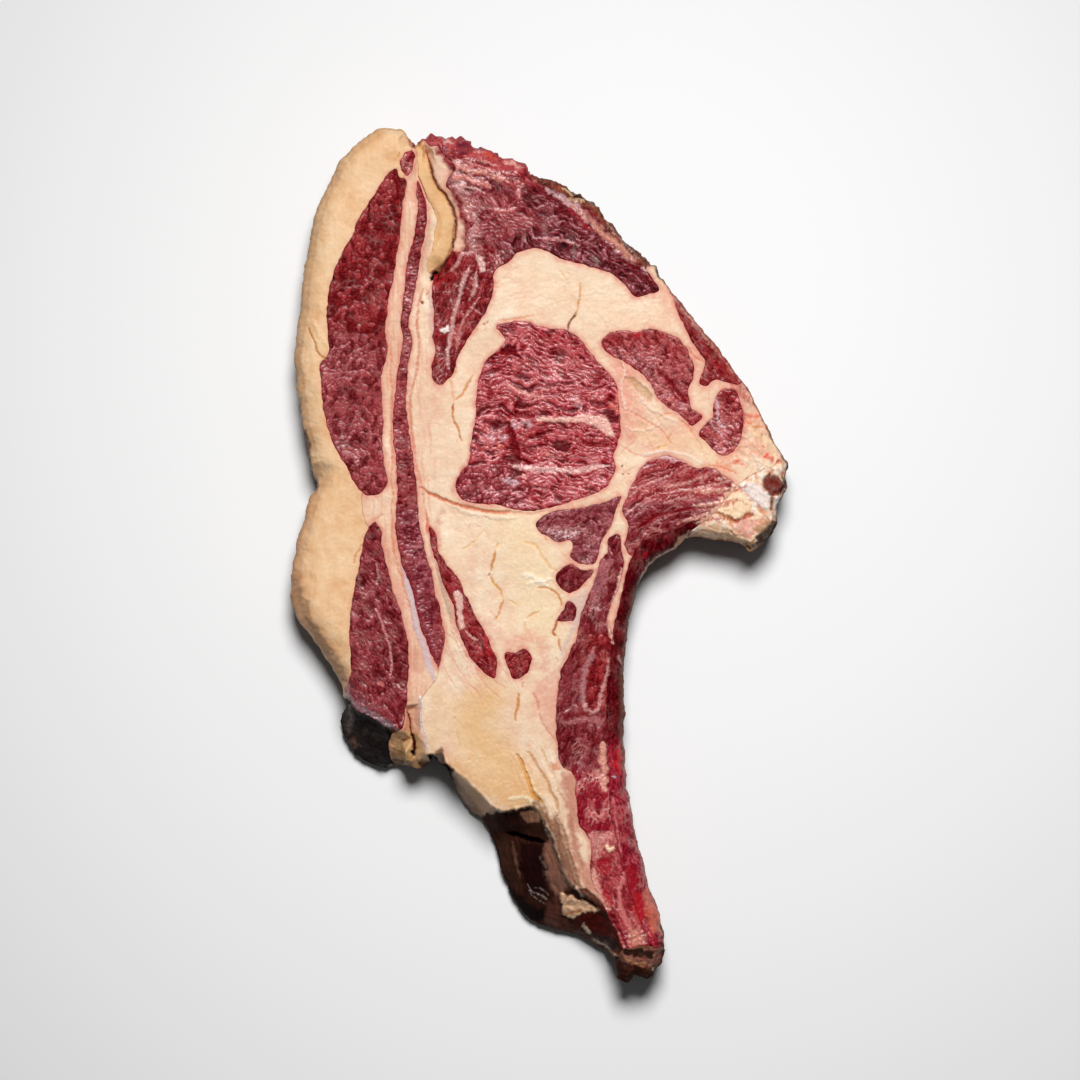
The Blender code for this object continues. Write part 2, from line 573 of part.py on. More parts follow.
def join_islands(points, faces, labels):
    """Gives each scrap that is cut off from its piece to the neighbour it meets most."""
    owners = shared_edges(faces)
    neighbours = defaultdict(list)
    for ends, pair in owners.items():
        if len(pair) == 2:
            a, b = ends
            length = np.linalg.norm(points[a] - points[b])
            neighbours[pair[0]].append((pair[1], length))
            neighbours[pair[1]].append((pair[0], length))
    for _ in range(4):
        seen, groups = set(), defaultdict(list)
        for start in range(len(faces)):
            if start in seen or labels[start] is None:
                continue
            group, queue = [], [start]
            seen.add(start)
            while queue:
                n = queue.pop()
                group.append(n)
                for other, _ in neighbours[n]:
                    if other not in seen and labels[other] == labels[start]:
                        seen.add(other)
                        queue.append(other)
            groups[labels[start]].append(group)
        moved = False
        for found in groups.values():
            for group in sorted(found, key=len)[:-1]:
                borders = defaultdict(float)
                for n in group:
                    for other, length in neighbours[n]:
                        if labels[other] is not None and labels[other] != labels[n]:
                            borders[labels[other]] += length
                if borders:
                    labels[group] = max(borders, key=borders.get)
                    moved = True
        if not moved:
            return


class Region:
    """One piece's triangles, with its own corner for each fan of them round a point."""

    def __init__(self, points, faces, rim_edges):
        owners = shared_edges(faces)
        parent = {(n, v): (n, v) for n, face in enumerate(faces) for v in face}

        def root(key):
            while parent[key] != key:
                key = parent[key]
            return key

        for ends, pair in owners.items():
            if len(pair) == 2:
                for v in ends:
                    parent[root((pair[0], v))] = root((pair[1], v))
        names = {}
        self.faces = []
        for n, face in enumerate(faces):
            self.faces.append([names.setdefault(root((n, v)), len(names)) for v in face])
        self.source = [v for _, v in names]
        self.points = points[self.source]
        self.after, self.before, self.on_rim = {}, {}, {}
        for face, own in zip(faces, self.faces):
            for i in range(3):
                ends = frozenset((face[i - 3], face[i - 2]))
                if len(owners[ends]) == 1:
                    self.after[own[i - 3]] = own[i - 2]
                    self.before[own[i - 2]] = own[i - 3]
                    self.on_rim[own[i - 3]] = ends in rim_edges

    def loops(self):
        """The boundary as closed loops of corners, with the piece on their left."""
        left, made = set(self.after), []
        while left:
            loop = [min(left)]
            while self.after[loop[-1]] != loop[0]:
                loop.append(self.after[loop[-1]])
            left -= set(loop)
            made.append(loop)
        return made

    def inset(self, corner):
        """How far a boundary corner moves so that the piece keeps its half of each gap."""
        here = self.points[corner]
        ways = (here - self.points[self.before[corner]], self.points[self.after[corner]] - here)
        normals = [np.array([-w[1], w[0]]) / max(np.linalg.norm(w), 1e-9) for w in ways]
        rims = (self.on_rim[self.before[corner]], self.on_rim[corner])
        offsets = [0.0 if rim else GAP / 2 for rim in rims]
        along = float(normals[0] @ normals[1])
        if abs(along) > STRAIGHT_COSINE:
            middle = normals[0] + normals[1]
            move = middle / max(np.linalg.norm(middle), 1e-9) * max(offsets)
        else:
            spread = 1 - along ** 2
            move = (normals[0] * (offsets[0] - along * offsets[1])
                    + normals[1] * (offsets[1] - along * offsets[0])) / spread
        length = np.linalg.norm(move)
        return move * min(1, LONGEST_MITRE * GAP / length) if length > 0 else move


def fill_loops(points, loops):
    """Triangles over a flat shape given by its boundary loops, which run with it on their left."""
    order = [corner for loop in loops for corner in loop]
    edges, first = [], 0
    for loop in loops:
        edges += [(first + i, first + (i + 1) % len(loop)) for i in range(len(loop))]
        first += len(loop)
    made, _, faces = cdt(np.array([points[corner] for corner in order]), edges)
    if len(made) != len(order):
        raise ValueError(f"the underside crosses itself near {made[len(order):]}")
    border = set(edges)
    owners = shared_edges(faces)
    within = {
        n for n, face in enumerate(faces)
        if border & {(face[i - 3], face[i - 2]) for i in range(3)}
    }
    queue = list(within)
    while queue:
        face = faces[queue.pop()]
        for i in range(3):
            a, b = face[i - 3], face[i - 2]
            if (a, b) in border or (b, a) in border:
                continue
            new = set(owners[frozenset((a, b))]) - within
            within |= new
            queue += new
    return [[order[v] for v in faces[n]] for n in sorted(within)]


def wall_inset(z, top, form, column):
    """How far in the outer wall stands at height Z under TOP. COLUMN makes its roughness."""
    undercut, crag = form[2], form[3]
    level = min(1.0, z / top)
    rough = 0.5 + 0.5 * math.sin(column * WALL_PHASE + z / WALL_RIPPLE)
    return undercut * (1 - level) ** WALL_BOW + crag * WALL_ROUGHNESS * rough * (level < 1)


def piece_mesh(region, heights, edge, room, floor=0.0, ceiling=None):
    """Corners and faces of a piece that stands on FLOOR, under the top surface or CEILING.

    ROOM holds, for each point on the silhouette, how far in the wall below it may stand.
    """
    _, form, outward = edge.at(region.points)
    corners, columns, underside = [], {}, {}
    for n, point in enumerate(region.points):
        source = region.source[n]
        full = heights[source]
        top = full if ceiling is None else ceiling
        levels = (1.0,)
        spot = point
        if n in region.after:
            levels = (1.0, *WALL_LEVELS) if source in room else (1.0, 0.0)
            spot = point + region.inset(n)
        columns[n] = []
        for level in levels:
            z = floor + (top - floor) * level
            depth = 0.0
            if source in room:
                depth = min(wall_inset(z, full, form[n], source), room[source])
            columns[n].append(len(corners))
            corners.append((*(spot - outward[n] * depth), z))
        underside[n] = corners[-1][:2]
    faces = [[columns[v][0] for v in face] for face in region.faces]
    for start, end in region.after.items():
        faces += wall_faces(columns[start], columns[end])
    for face in fill_loops(underside, region.loops()):
        faces.append([columns[v][-1] for v in reversed(face)])
    return corners, faces


def wall_faces(start, end):
    """Triangles between two upright columns of corners, which may have different counts."""
    if len(start) == len(end):
        quads = zip(start, start[1:], end, end[1:])
        return [f for a, b, c, d in quads for f in ([a, b, d], [a, d, c])]
    if len(start) > len(end):
        fan = [[a, b, end[0]] for a, b in zip(start, start[1:])]
        return fan + [[start[-1], end[1], end[0]]]
    fan = [[start[0], b, a] for a, b in zip(end, end[1:])]
    return fan + [[start[0], start[1], end[-1]]]


def rim_depths(points, faces, labels, rim_edges):
    """How far in the wall below each rim point may stand, clear of the lines inside the plan."""
    rim = {v for ends in rim_edges for v in ends}
    owners = shared_edges(faces)
    lines = set()
    for ends, pair in owners.items():
        kinds = {labels[n] for n in pair}
        if len(kinds) > 1 and None not in kinds:
            lines |= set(ends)
    inner = points[sorted(lines - rim)]
    room = {}
    for v in rim:
        room[v] = WALL_ROOM * float(np.linalg.norm(inner - points[v], axis=1).min())
    return room


def material_of(kind):
    """The surface of one kind of tissue."""
    made = bpy.data.materials.get(kind) or bpy.data.materials.new(kind)
    made.use_nodes = True
    shader = made.node_tree.nodes["Principled BSDF"]
    shader.inputs["Base Color"].default_value = KIND_COLOURS[kind]
    shader.inputs["Roughness"].default_value = KIND_ROUGHNESS[kind]
    shader.inputs["Metallic"].default_value = 0.0
    return made


def add_object(name, kind, corners, faces, centre):
    """A named object in metres, centred on the slab."""
    spots = (np.array(corners) - np.array([centre[0], centre[1], 0])) * MM
    mesh = bpy.data.meshes.new(name)
    mesh.from_pydata([tuple(p) for p in spots], [], faces)
    mesh.materials.append(material_of(kind))
    mesh.shade_smooth()
    mesh.set_sharp_from_angle(angle=math.radians(40))
    made = bpy.data.objects.new(name, mesh)
    bpy.context.scene.collection.objects.link(made)


def clear_scene():
    for found in list(bpy.data.objects):
        bpy.data.objects.remove(found, do_unlink=True)


def build_steak():
    clear_scene()
    edge = Silhouette()
    outlines = {name: smooth_curve(piece.outline) for name, piece in PIECES.items()}
    points, faces = plan_triangles(edge, outlines)
    labels = label_triangles(points, faces, edge, outlines)
    join_islands(points, faces, labels)
    rim_edges = {
        ends for ends, pair in shared_edges(faces).items()
        if (labels[pair[0]] is None) != (len(pair) == 1 or labels[pair[1]] is None)
    }
    room = rim_depths(points, faces, labels, rim_edges)
    flesh = [n for n in PIECES if PIECES[n].kind == "flesh"]
    within = np.zeros(len(points))
    for name in flesh:
        reach = distances(points, outlines[name], True)[0]
        within = np.maximum(within, np.where(inside(points, outlines[name]), reach, 0))
    heights = surface_height(points, edge, within)
    centre = (edge.line.max(axis=0) + edge.line.min(axis=0)) / 2
    for name in [*PIECES, REMAINDER]:
        own = [face for face, label in zip(faces, labels) if label == name]
        region = Region(points, own, rim_edges)
        kind = PIECES[name].kind if name in PIECES else REMAINDER_KIND
        if name == "rib_lining":
            bone = piece_mesh(region, heights, edge, room, ceiling=RIB_BONE_TOP)
            add_object("rib_bone", "bone", *bone, centre)
            lining = piece_mesh(region, heights, edge, room, floor=RIB_BONE_TOP + GAP)
            add_object(name, kind, *lining, centre)
        else:
            add_object(name, kind, *piece_mesh(region, heights, edge, room), centre)


build_steak()
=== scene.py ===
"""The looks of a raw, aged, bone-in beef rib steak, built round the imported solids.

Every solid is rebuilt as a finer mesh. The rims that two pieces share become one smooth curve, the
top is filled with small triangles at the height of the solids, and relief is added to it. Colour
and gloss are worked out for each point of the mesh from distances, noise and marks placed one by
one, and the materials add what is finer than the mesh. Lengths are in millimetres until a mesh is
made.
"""

import json
import math
from collections import defaultdict
from typing import NamedTuple

import bpy
import numpy as np
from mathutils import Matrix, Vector, geometry, kdtree

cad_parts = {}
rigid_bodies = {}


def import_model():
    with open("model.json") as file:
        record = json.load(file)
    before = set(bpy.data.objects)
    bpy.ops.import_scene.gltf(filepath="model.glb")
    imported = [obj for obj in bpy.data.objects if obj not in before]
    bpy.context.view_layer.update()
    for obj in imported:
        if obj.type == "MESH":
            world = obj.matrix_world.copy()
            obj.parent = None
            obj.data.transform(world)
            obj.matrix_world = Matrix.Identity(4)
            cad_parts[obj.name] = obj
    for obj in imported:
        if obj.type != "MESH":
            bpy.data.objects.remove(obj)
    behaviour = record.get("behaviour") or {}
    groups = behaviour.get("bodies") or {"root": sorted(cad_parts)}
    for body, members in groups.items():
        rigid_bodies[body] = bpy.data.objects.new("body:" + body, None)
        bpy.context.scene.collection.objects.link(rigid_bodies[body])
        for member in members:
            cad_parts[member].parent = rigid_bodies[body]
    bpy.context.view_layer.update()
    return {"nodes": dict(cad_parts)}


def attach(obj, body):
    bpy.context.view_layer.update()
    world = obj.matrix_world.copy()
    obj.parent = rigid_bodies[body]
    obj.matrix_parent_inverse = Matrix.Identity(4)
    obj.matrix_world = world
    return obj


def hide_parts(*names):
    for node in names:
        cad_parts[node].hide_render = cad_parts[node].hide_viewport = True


MM = 0.001

# The part's origin, in the plan's own millimetres
PLAN_ORIGIN = np.array([0.1, 0.35])

# The fine meshes
RIM_STEP = 0.5
FILL_STEP = 0.52
FILL_CLEARANCE = 0.3
GAP_KEPT = 0.08
TOP_FACING = 0.14
FOOT_DEPTH = 0.01
WALL_ROWS = 24
WALL_BOW = 1.6
LINING_FLOOR = 15.2

# Two rims run beside each other where their middles and their ends are this near
PAIR_REACH = 1.1
PAIR_MISS = 2.2

# A curve runs on into the next rim only if they are straighter than this
LEAST_STRAIGHT = 0.3

# How many triangles are tested at a time for lying in a hole
BATCH = 500

# The raster that holds the height of the solids, and the steps in it that stay sharp
CELL = 0.5
HEIGHT_MARGIN = 3
HEIGHT_BLUR = 1.3
SHARP_STEPS = (0.25, 0.8)
SHARP_SHARE = 0.75
FILL_ROUNDS = 8
EDGE_SLACK = 0.02

# The narrow crevice beside the fold of fat: its line, how high its banks are, how far they reach,
# and how deep and wide they drop
FOLD_CREVICE = ((-51, 181), (-49.5, 176.2), (-47.6, 169.6), (-42.6, 162.4), (-39.2, 157),
                (-37.5, 150), (-38.6, 140.6), (-42, 132.8), (-46.4, 126.6))
BESIDE_CREVICE = {"fat_fold", "fat_wedge", "cap_muscle"}
BANK_TOP = 33.9
BANK_REACH = (6, 9)
BANK_ENDS = 8
CREVICE_DROPS = ((2.8, 0.55), (1.0, 2.6))

# Right of this line a film of the cap muscle covers the wedge of fat
FILM_EDGE = ((-46, 190), (-47, 182), (-43.5, 178), (-40, 172), (-40, 168), (-40.4, 164),
             (-37, 156), (-34.6, 148), (-34.6, 140), (-37, 130))

# The widths and heights of small waves that make every border a little ragged
RAGGED = ((9.0, 0.5), (4.0, 0.42), (1.7, 0.2))

# The first seed of each kind of noise
RAGGED_SEED = 21
AREA_EDGE_SEED = 60
FLESH_SEED = 100
FAT_SEED = 300
BONE_SEED = 500
AREA_SEED = 600
EDGE_SEED = 700
GRIME_AND_SHADE_SEED = 810
BUMP_SEED = 820
GRIT_SEED = 900
SHADE_SEED = 950
STREAK_BEND_SEED = 970
STREAK_SEED = 980

# Room for the seeds of one muscle, and of one area of fibres, before the next one's
FLESH_SEEDS = 23
AREA_SEEDS = 31


def hashed(ix, iy, iz, seed):
    """A repeatable random number from 0 to 1 for each lattice point."""
    n = ix * 374761393 + iy * 668265263 + iz * 2147483647 + seed * 1274126177
    n = (n ^ (n >> 13)) & 0xFFFFFFFF
    n = (n * 1103515245 + 12345) & 0xFFFFFFFF
    n = (n ^ (n >> 15)) & 0xFFFFFFFF
    n = (n * 747796405) & 0xFFFFFFFF
    return ((n ^ (n >> 12)) & 0xFFFFFF) / 0xFFFFFF


def noise2(x, y, seed):
    """Smooth noise from about -1 to 1 in a plane, with features about one unit wide."""
    fx, fy = np.floor(x), np.floor(y)
    ix, iy = fx.astype(np.int64), fy.astype(np.int64)
    tx, ty = x - fx, y - fy
    sx = tx * tx * tx * (tx * (tx * 6 - 15) + 10)
    sy = ty * ty * ty * (ty * (ty * 6 - 15) + 10)
    corners = []
    for cy in (0, 1):
        for cx in (0, 1):
            angle = hashed(ix + cx, iy + cy, 0, seed) * math.tau
            corners.append(np.cos(angle) * (tx - cx) + np.sin(angle) * (ty - cy))
    low = corners[0] + (corners[1] - corners[0]) * sx
    high = corners[2] + (corners[3] - corners[2]) * sx
    return (low + (high - low) * sy) * 1.5


def noise3(x, y, z, seed):
    """Smooth value noise from -1 to 1 in space."""
    floors = [np.floor(c) for c in (x, y, z)]
    ints = [f.astype(np.int64) for f in floors]
    parts = [c - f for c, f in zip((x, y, z), floors)]
    sx, sy, sz = [t * t * (3 - 2 * t) for t in parts]
    total = np.zeros(len(x))
    for cz in (0, 1):
        for cy in (0, 1):
            for cx in (0, 1):
                weight = (sx if cx else 1 - sx) * (sy if cy else 1 - sy) * (sz if cz else 1 - sz)
                total += weight * hashed(ints[0] + cx, ints[1] + cy, ints[2] + cz, seed)
    return total * 2 - 1


def fractal(x, y, seed, octaves=3):
    """Noise with finer noise added to it."""
    total = np.zeros(len(x))
    for octave in range(octaves):
        scale = 2 ** octave
        total += noise2(x * scale, y * scale, seed + octave) / scale
    return total


def noise_at(p, size, seed, octaves=1):
    """Noise at flat points, with features about SIZE wide."""
    return fractal(p[:, 0] / size, p[:, 1] / size, seed, octaves)


def cells(x, y, seed):
    """Cellular noise: the nearest and second distances, and a random number for each cell."""
    ix, iy = np.floor(x).astype(np.int64), np.floor(y).astype(np.int64)
    first = np.full(len(x), 9.0)
    second = np.full(len(x), 9.0)
    name = np.zeros(len(x))
    for cy in (-1, 0, 1):
        for cx in (-1, 0, 1):
            jx, jy = ix + cx, iy + cy
            px = jx + hashed(jx, jy, 1, seed)
            py = jy + hashed(jx, jy, 2, seed)
            gap = np.hypot(px - x, py - y)
            nearer = gap < first
            second = np.where(nearer, first, np.minimum(second, gap))
            name = np.where(nearer, hashed(jx, jy, 3, seed), name)
            first = np.minimum(first, gap)
    return first, second, name


def step(low, high, value):
    """0 below LOW, 1 above HIGH, and smooth between."""
    t = np.clip((value - low) / (high - low), 0, 1)
    return t * t * (3 - 2 * t)


def linear(colour):
    """An 8-bit screen colour as linear light."""
    share = np.array(colour, float) / 255
    return np.where(share <= 0.04045, share / 12.92, ((share + 0.055) / 1.055) ** 2.4)


def mix(a, b, share):
    """From colour A to colour B, by a share for each point."""
    return a + (b - a) * np.asarray(share)[..., None]


def blend(a, b, start, end, t):
    """A at START, B at END, and in proportion between."""
    return (a * (end - t) + b * (t - start)) / (end - start)


def span_points(corners, count):
    """COUNT points from the second corner towards the third, on a centripetal Catmull-Rom span."""
    knots = [0.0]
    for a, b in zip(corners, corners[1:]):
        knots.append(knots[-1] + max(np.linalg.norm(b - a), 1e-6) ** 0.5)
    made = []
    for t in np.linspace(knots[1], knots[2], count, endpoint=False):
        first = [blend(corners[i], corners[i + 1], knots[i], knots[i + 1], t) for i in range(3)]
        second = [blend(first[i], first[i + 1], knots[i], knots[i + 2], t) for i in range(2)]
        made.append(blend(second[0], second[1], knots[1], knots[2], t))
    return made


def smooth_line(points, pitch=1.5):
    """An open smooth curve through POINTS."""
    points = np.array(points, float)
    if len(points) < 3:
        return points
    ring = np.vstack([2 * points[0] - points[1], points, 2 * points[-1] - points[-2]])
    made = []
    for i in range(1, len(ring) - 2):
        count = max(1, round(np.linalg.norm(ring[i + 1] - ring[i]) / pitch))
        made += span_points(ring[i - 1:i + 3], count)
    return np.array(made + [points[-1]])


def line_distance(points, line):
    """For each point: distance to LINE, distance along it, and which side it is on."""
    starts, ends = line[:-1], line[1:]
    along = ends - starts
    length = np.maximum(np.linalg.norm(along, axis=1), 1e-9)
    run = np.concatenate([[0], np.cumsum(length)])[:-1]
    best = np.full(len(points), np.inf)
    place = np.zeros(len(points))
    side = np.ones(len(points))
    for start, way, size, reached in zip(starts, along, length, run):
        offset = points - start
        share = np.clip(offset @ way / size ** 2, 0, 1)
        gap = np.linalg.norm(offset - share[:, None] * way, axis=1)
        nearer = gap < best
        best = np.where(nearer, gap, best)
        place = np.where(nearer, reached + share * size, place)
        turn = way[0] * offset[:, 1] - way[1] * offset[:, 0]
        side = np.where(nearer, np.where(turn >= 0, 1.0, -1.0), side)
    return best, place, side


def within(points, loop):
    """Which points lie inside a closed line."""
    x, y = points[:, 0], points[:, 1]
    odd = np.zeros(len(points), bool)
    for (ax, ay), (bx, by) in zip(loop, loop[1:]):
        if ay != by:
            odd ^= ((ay > y) != (by > y)) & (x < ax + (y - ay) / (by - ay) * (bx - ax))
    return odd


def depth_inside(points, corners):
    """How far inside an outline each point lies, or below zero how far outside."""
    loop = np.vstack([corners, corners[:1]]).astype(float)
    gap, _, _ = line_distance(points, loop)
    return np.where(within(points, loop), gap, -gap)


def in_box(p, line, reach):
    """Which points lie in the box round LINE, or within REACH of it."""
    return ((p > np.min(line, axis=0) - reach) & (p < np.max(line, axis=0) + reach)).all(axis=1)


def turned(x, y, degrees):
    """Distances along and across a line that runs at an angle."""
    angle = math.radians(degrees)
    return x * math.cos(angle) + y * math.sin(angle), y * math.cos(angle) - x * math.sin(angle)


def tree_of(points):
    """A tree that finds the nearest of flat points."""
    tree = kdtree.KDTree(len(points))
    for i, (x, y) in enumerate(points):
        tree.insert((x, y, 0), i)
    tree.balance()
    return tree


def tree_distances(tree, points):
    """The distance from each point to the nearest in the tree, and that one's index."""
    found = [tree.find((x, y, 0)) for x, y in points]
    return np.array([f[2] for f in found]), np.array([f[1] for f in found])


class Solid:
    """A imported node's triangles, in plan millimetres, and the rim of its top."""

    def __init__(self, node):
        mesh = node.data
        mesh.calc_loop_triangles()
        spots = np.empty(len(mesh.vertices) * 3)
        mesh.vertices.foreach_get("co", spots)
        spots = spots.reshape(-1, 3) / MM
        spots[:, :2] += PLAN_ORIGIN
        faces = np.empty(len(mesh.loop_triangles) * 3, np.int32)
        mesh.loop_triangles.foreach_get("vertices", faces)
        _, first, index = np.unique(
            np.round(spots * 1000).astype(np.int64), axis=0, return_index=True,
            return_inverse=True)
        self.spots = spots[first]
        self.faces = index.reshape(-1)[faces.reshape(-1, 3)]
        corners = self.spots[self.faces]
        normal = np.cross(corners[:, 1] - corners[:, 0], corners[:, 2] - corners[:, 0])
        facing = normal[:, 2] / np.maximum(np.linalg.norm(normal, axis=1), 1e-12)
        on_top = np.zeros(len(self.spots), bool)
        on_top[self.faces[facing > TOP_FACING]] = True
        self.top = self.faces[on_top[self.faces].all(axis=1)]
        self.loops = rim_loops(self.top)
        on_floor = self.spots[:, 2] < self.spots[:, 2].min() + FOOT_DEPTH
        self.foot = tree_of(self.spots[on_floor, :2])


def rim_loops(faces):
    """The boundary of a patch of triangles as closed loops, with the patch on the left."""
    edges = {(int(f[i - 3]), int(f[i - 2])) for f in faces for i in range(3)}
    after = {a: b for a, b in edges if (b, a) not in edges}
    made = []
    while after:
        start, here = after.popitem()
        loop = [start]
        while here != start:
            loop.append(here)
            here = after.pop(here)
        made.append(loop)
    return made


class Network:
    """The rims of all the solids as one net, whose points and curves neighbours share."""

    def __init__(self, solids):
        self.rims = []
        for name, solid in solids.items():
            for loop in solid.loops:
                for i, corner in enumerate(loop):
                    self.rims.append((name, corner, loop[(i + 1) % len(loop)]))
        self.solids = solids
        self.parent = {}
        self.outer = set()
        self.pair_rims()
        self.place_points()
        self.curves = {}

    def root(self, key):
        """The corner that stands for all those in the same place as this one."""
        while self.parent.setdefault(key, key) != key:
            key = self.parent[key]
        return key

    def spot(self, name, corner):
        """Where a corner of a solid is in plan."""
        return self.solids[name].spots[corner][:2]

    def pair_rims(self):
        """Finds the rim that runs the other way beside each rim. One without is on the outside."""
        ends = [(self.spot(name, a), self.spot(name, b)) for name, a, b in self.rims]
        middles = [(start + end) / 2 for start, end in ends]
        tree = tree_of(middles)
        for i, (name, a, b) in enumerate(self.rims):
            start, end = ends[i]
            found = None
            for _, other, _ in tree.find_range((*middles[i], 0), PAIR_REACH):
                other_name, c, d = self.rims[other]
                if other == i:
                    continue
                miss = np.linalg.norm(self.spot(other_name, c) - end)
                miss += np.linalg.norm(self.spot(other_name, d) - start)
                if miss < PAIR_MISS and (found is None or miss < found[0]):
                    found = (miss, other)
            if found is None:
                self.outer.add((name, a, b))
                self.root((name, a))
                self.root((name, b))
            else:
                other_name, c, d = self.rims[found[1]]
                self.parent[self.root((name, a))] = self.root((other_name, d))
                self.parent[self.root((name, b))] = self.root((other_name, c))

    def place_points(self):
        """Puts each shared point in the middle of its corners, and lists its neighbours."""
        members = defaultdict(list)
        for name, a, b in self.rims:
            members[self.root((name, a))].append(self.spot(name, a))
        self.points = {key: np.mean(spots, axis=0) for key, spots in members.items()}
        self.near = defaultdict(set)
        for name, a, b in self.rims:
            start, end = self.root((name, a)), self.root((name, b))
            if start != end:
                self.near[start].add(end)
                self.near[end].add(start)

    def before(self, here, ahead):
        """The point that leads into HERE on the way to AHEAD, the straightest of its neighbours."""
        way = self.points[ahead] - self.points[here]
        way /= max(np.linalg.norm(way), 1e-9)
        best, found = LEAST_STRAIGHT, None
        for other in sorted(self.near[here] - {ahead}):
            back = self.points[here] - self.points[other]
            straight = float(back @ way) / max(np.linalg.norm(back), 1e-9)
            if len(self.near[here]) == 2 or straight > best:
                best, found = straight, self.points[other]
        return found if found is not None else 2 * self.points[here] - self.points[ahead]

    def curve(self, start, end):
        """The points from START up to, but without, END on their shared curve."""
        key = (min(start, end), max(start, end))
        if key not in self.curves:
            a, b = key
            corners = [self.before(a, b), self.points[a], self.points[b], self.before(b, a)]
            count = max(1, round(np.linalg.norm(corners[2] - corners[1]) / RIM_STEP))
            self.curves[key] = np.array(span_points(corners, count) + [self.points[b]])
        line = self.curves[key]
        return line[:-1] if key[0] == start else line[:0:-1]


class HeightMap:
    """The height of the solids' tops on an even grid, smoothed where they are faceted."""

    def __init__(self, solids):
        tops = [s.spots[s.top] for s in solids.values()]
        corners = np.concatenate(tops)
        self.low = corners[:, :, :2].reshape(-1, 2).min(axis=0) - HEIGHT_MARGIN
        high = corners[:, :, :2].reshape(-1, 2).max(axis=0) + HEIGHT_MARGIN
        self.shape = tuple(np.ceil((high - self.low) / CELL).astype(int)[::-1])
        raw = np.full(self.shape, np.nan)
        for triangle in corners:
            self.draw(raw, triangle)
        raw = self.fill(raw)
        soft = self.blur(raw)
        keep = step(*SHARP_STEPS, np.abs(raw - soft)) * SHARP_SHARE
        self.grid = soft + (raw - soft) * keep

    def draw(self, raw, triangle):
        """Writes the heights of one triangle into the grid."""
        flat = (triangle[:, :2] - self.low) / CELL
        x0, y0 = np.maximum(np.floor(flat.min(axis=0)).astype(int), 0)
        x1, y1 = np.ceil(flat.max(axis=0)).astype(int) + 1
        ys, xs = np.mgrid[y0:min(y1, self.shape[0]), x0:min(x1, self.shape[1])]
        (ax, ay), (bx, by), (cx, cy) = flat
        area = (bx - ax) * (cy - ay) - (by - ay) * (cx - ax)
        if abs(area) < 1e-9:
            return
        v = ((xs - ax) * (cy - ay) - (ys - ay) * (cx - ax)) / area
        w = ((bx - ax) * (ys - ay) - (by - ay) * (xs - ax)) / area
        inside = (v >= -EDGE_SLACK) & (w >= -EDGE_SLACK) & (v + w <= 1 + EDGE_SLACK)
        z = triangle[0, 2] * (1 - v - w) + triangle[1, 2] * v + triangle[2, 2] * w
        raw[ys[inside], xs[inside]] = z[inside]

    def fill(self, raw):
        """Gives the empty cells round and between the solids the height of their neighbours."""
        for _ in range(FILL_ROUNDS):
            padded = np.pad(raw, 1, constant_values=np.nan)
            rows, columns = self.shape
            near = [padded[1 + dy:1 + dy + rows, 1 + dx:1 + dx + columns]
                    for dy in (-1, 0, 1) for dx in (-1, 0, 1) if dx or dy]
            known = [~np.isnan(n) for n in near]
            total = sum(np.where(k, n, 0) for n, k in zip(near, known))
            count = sum(k.astype(float) for k in known)
            fresh = np.isnan(raw) & (count > 0)
            raw = np.where(fresh, total / np.maximum(count, 1), raw)
        return raw

    def blur(self, raw):
        """The grid smoothed over HEIGHT_BLUR, without its empty cells."""
        known = ~np.isnan(raw)
        reach = int(3 * HEIGHT_BLUR / CELL)
        kernel = np.exp(-0.5 * (np.arange(-reach, reach + 1) * CELL / HEIGHT_BLUR) ** 2)
        total, weight = np.where(known, raw, 0), known.astype(float)
        for axis in (0, 1):
            total = np.apply_along_axis(np.convolve, axis, total, kernel, "same")
            weight = np.apply_along_axis(np.convolve, axis, weight, kernel, "same")
        return np.where(known, total / np.maximum(weight, 1e-9), np.nan)

    def at(self, points):
        """The height at each flat point."""
        place = (points - self.low) / CELL
        place = np.clip(place, 0, np.array(self.shape[::-1]) - 1.001)
        x, y = np.floor(place).astype(int).T
        tx, ty = (place - np.floor(place)).T
        total, weight = np.zeros(len(points)), np.zeros(len(points))
        for dy in (0, 1):
            for dx in (0, 1):
                value = self.grid[y + dy, x + dx]
                share = (tx if dx else 1 - tx) * (ty if dy else 1 - ty)
                share = np.where(np.isnan(value), 0, share + 1e-9)
                total += np.where(np.isnan(value), 0, value) * share
                weight += share
        return total / np.maximum(weight, 1e-12)


# What a point of a mesh belongs to
CUT_FACE, INNER_WALL, OUTER_WALL = 0, 1, 2


class Piece(NamedTuple):
    """A mesh in plan millimetres, with the height of the top above each point and its wall."""

    name: str
    spots: np.ndarray
    faces: np.ndarray
    top: np.ndarray
    wall: np.ndarray


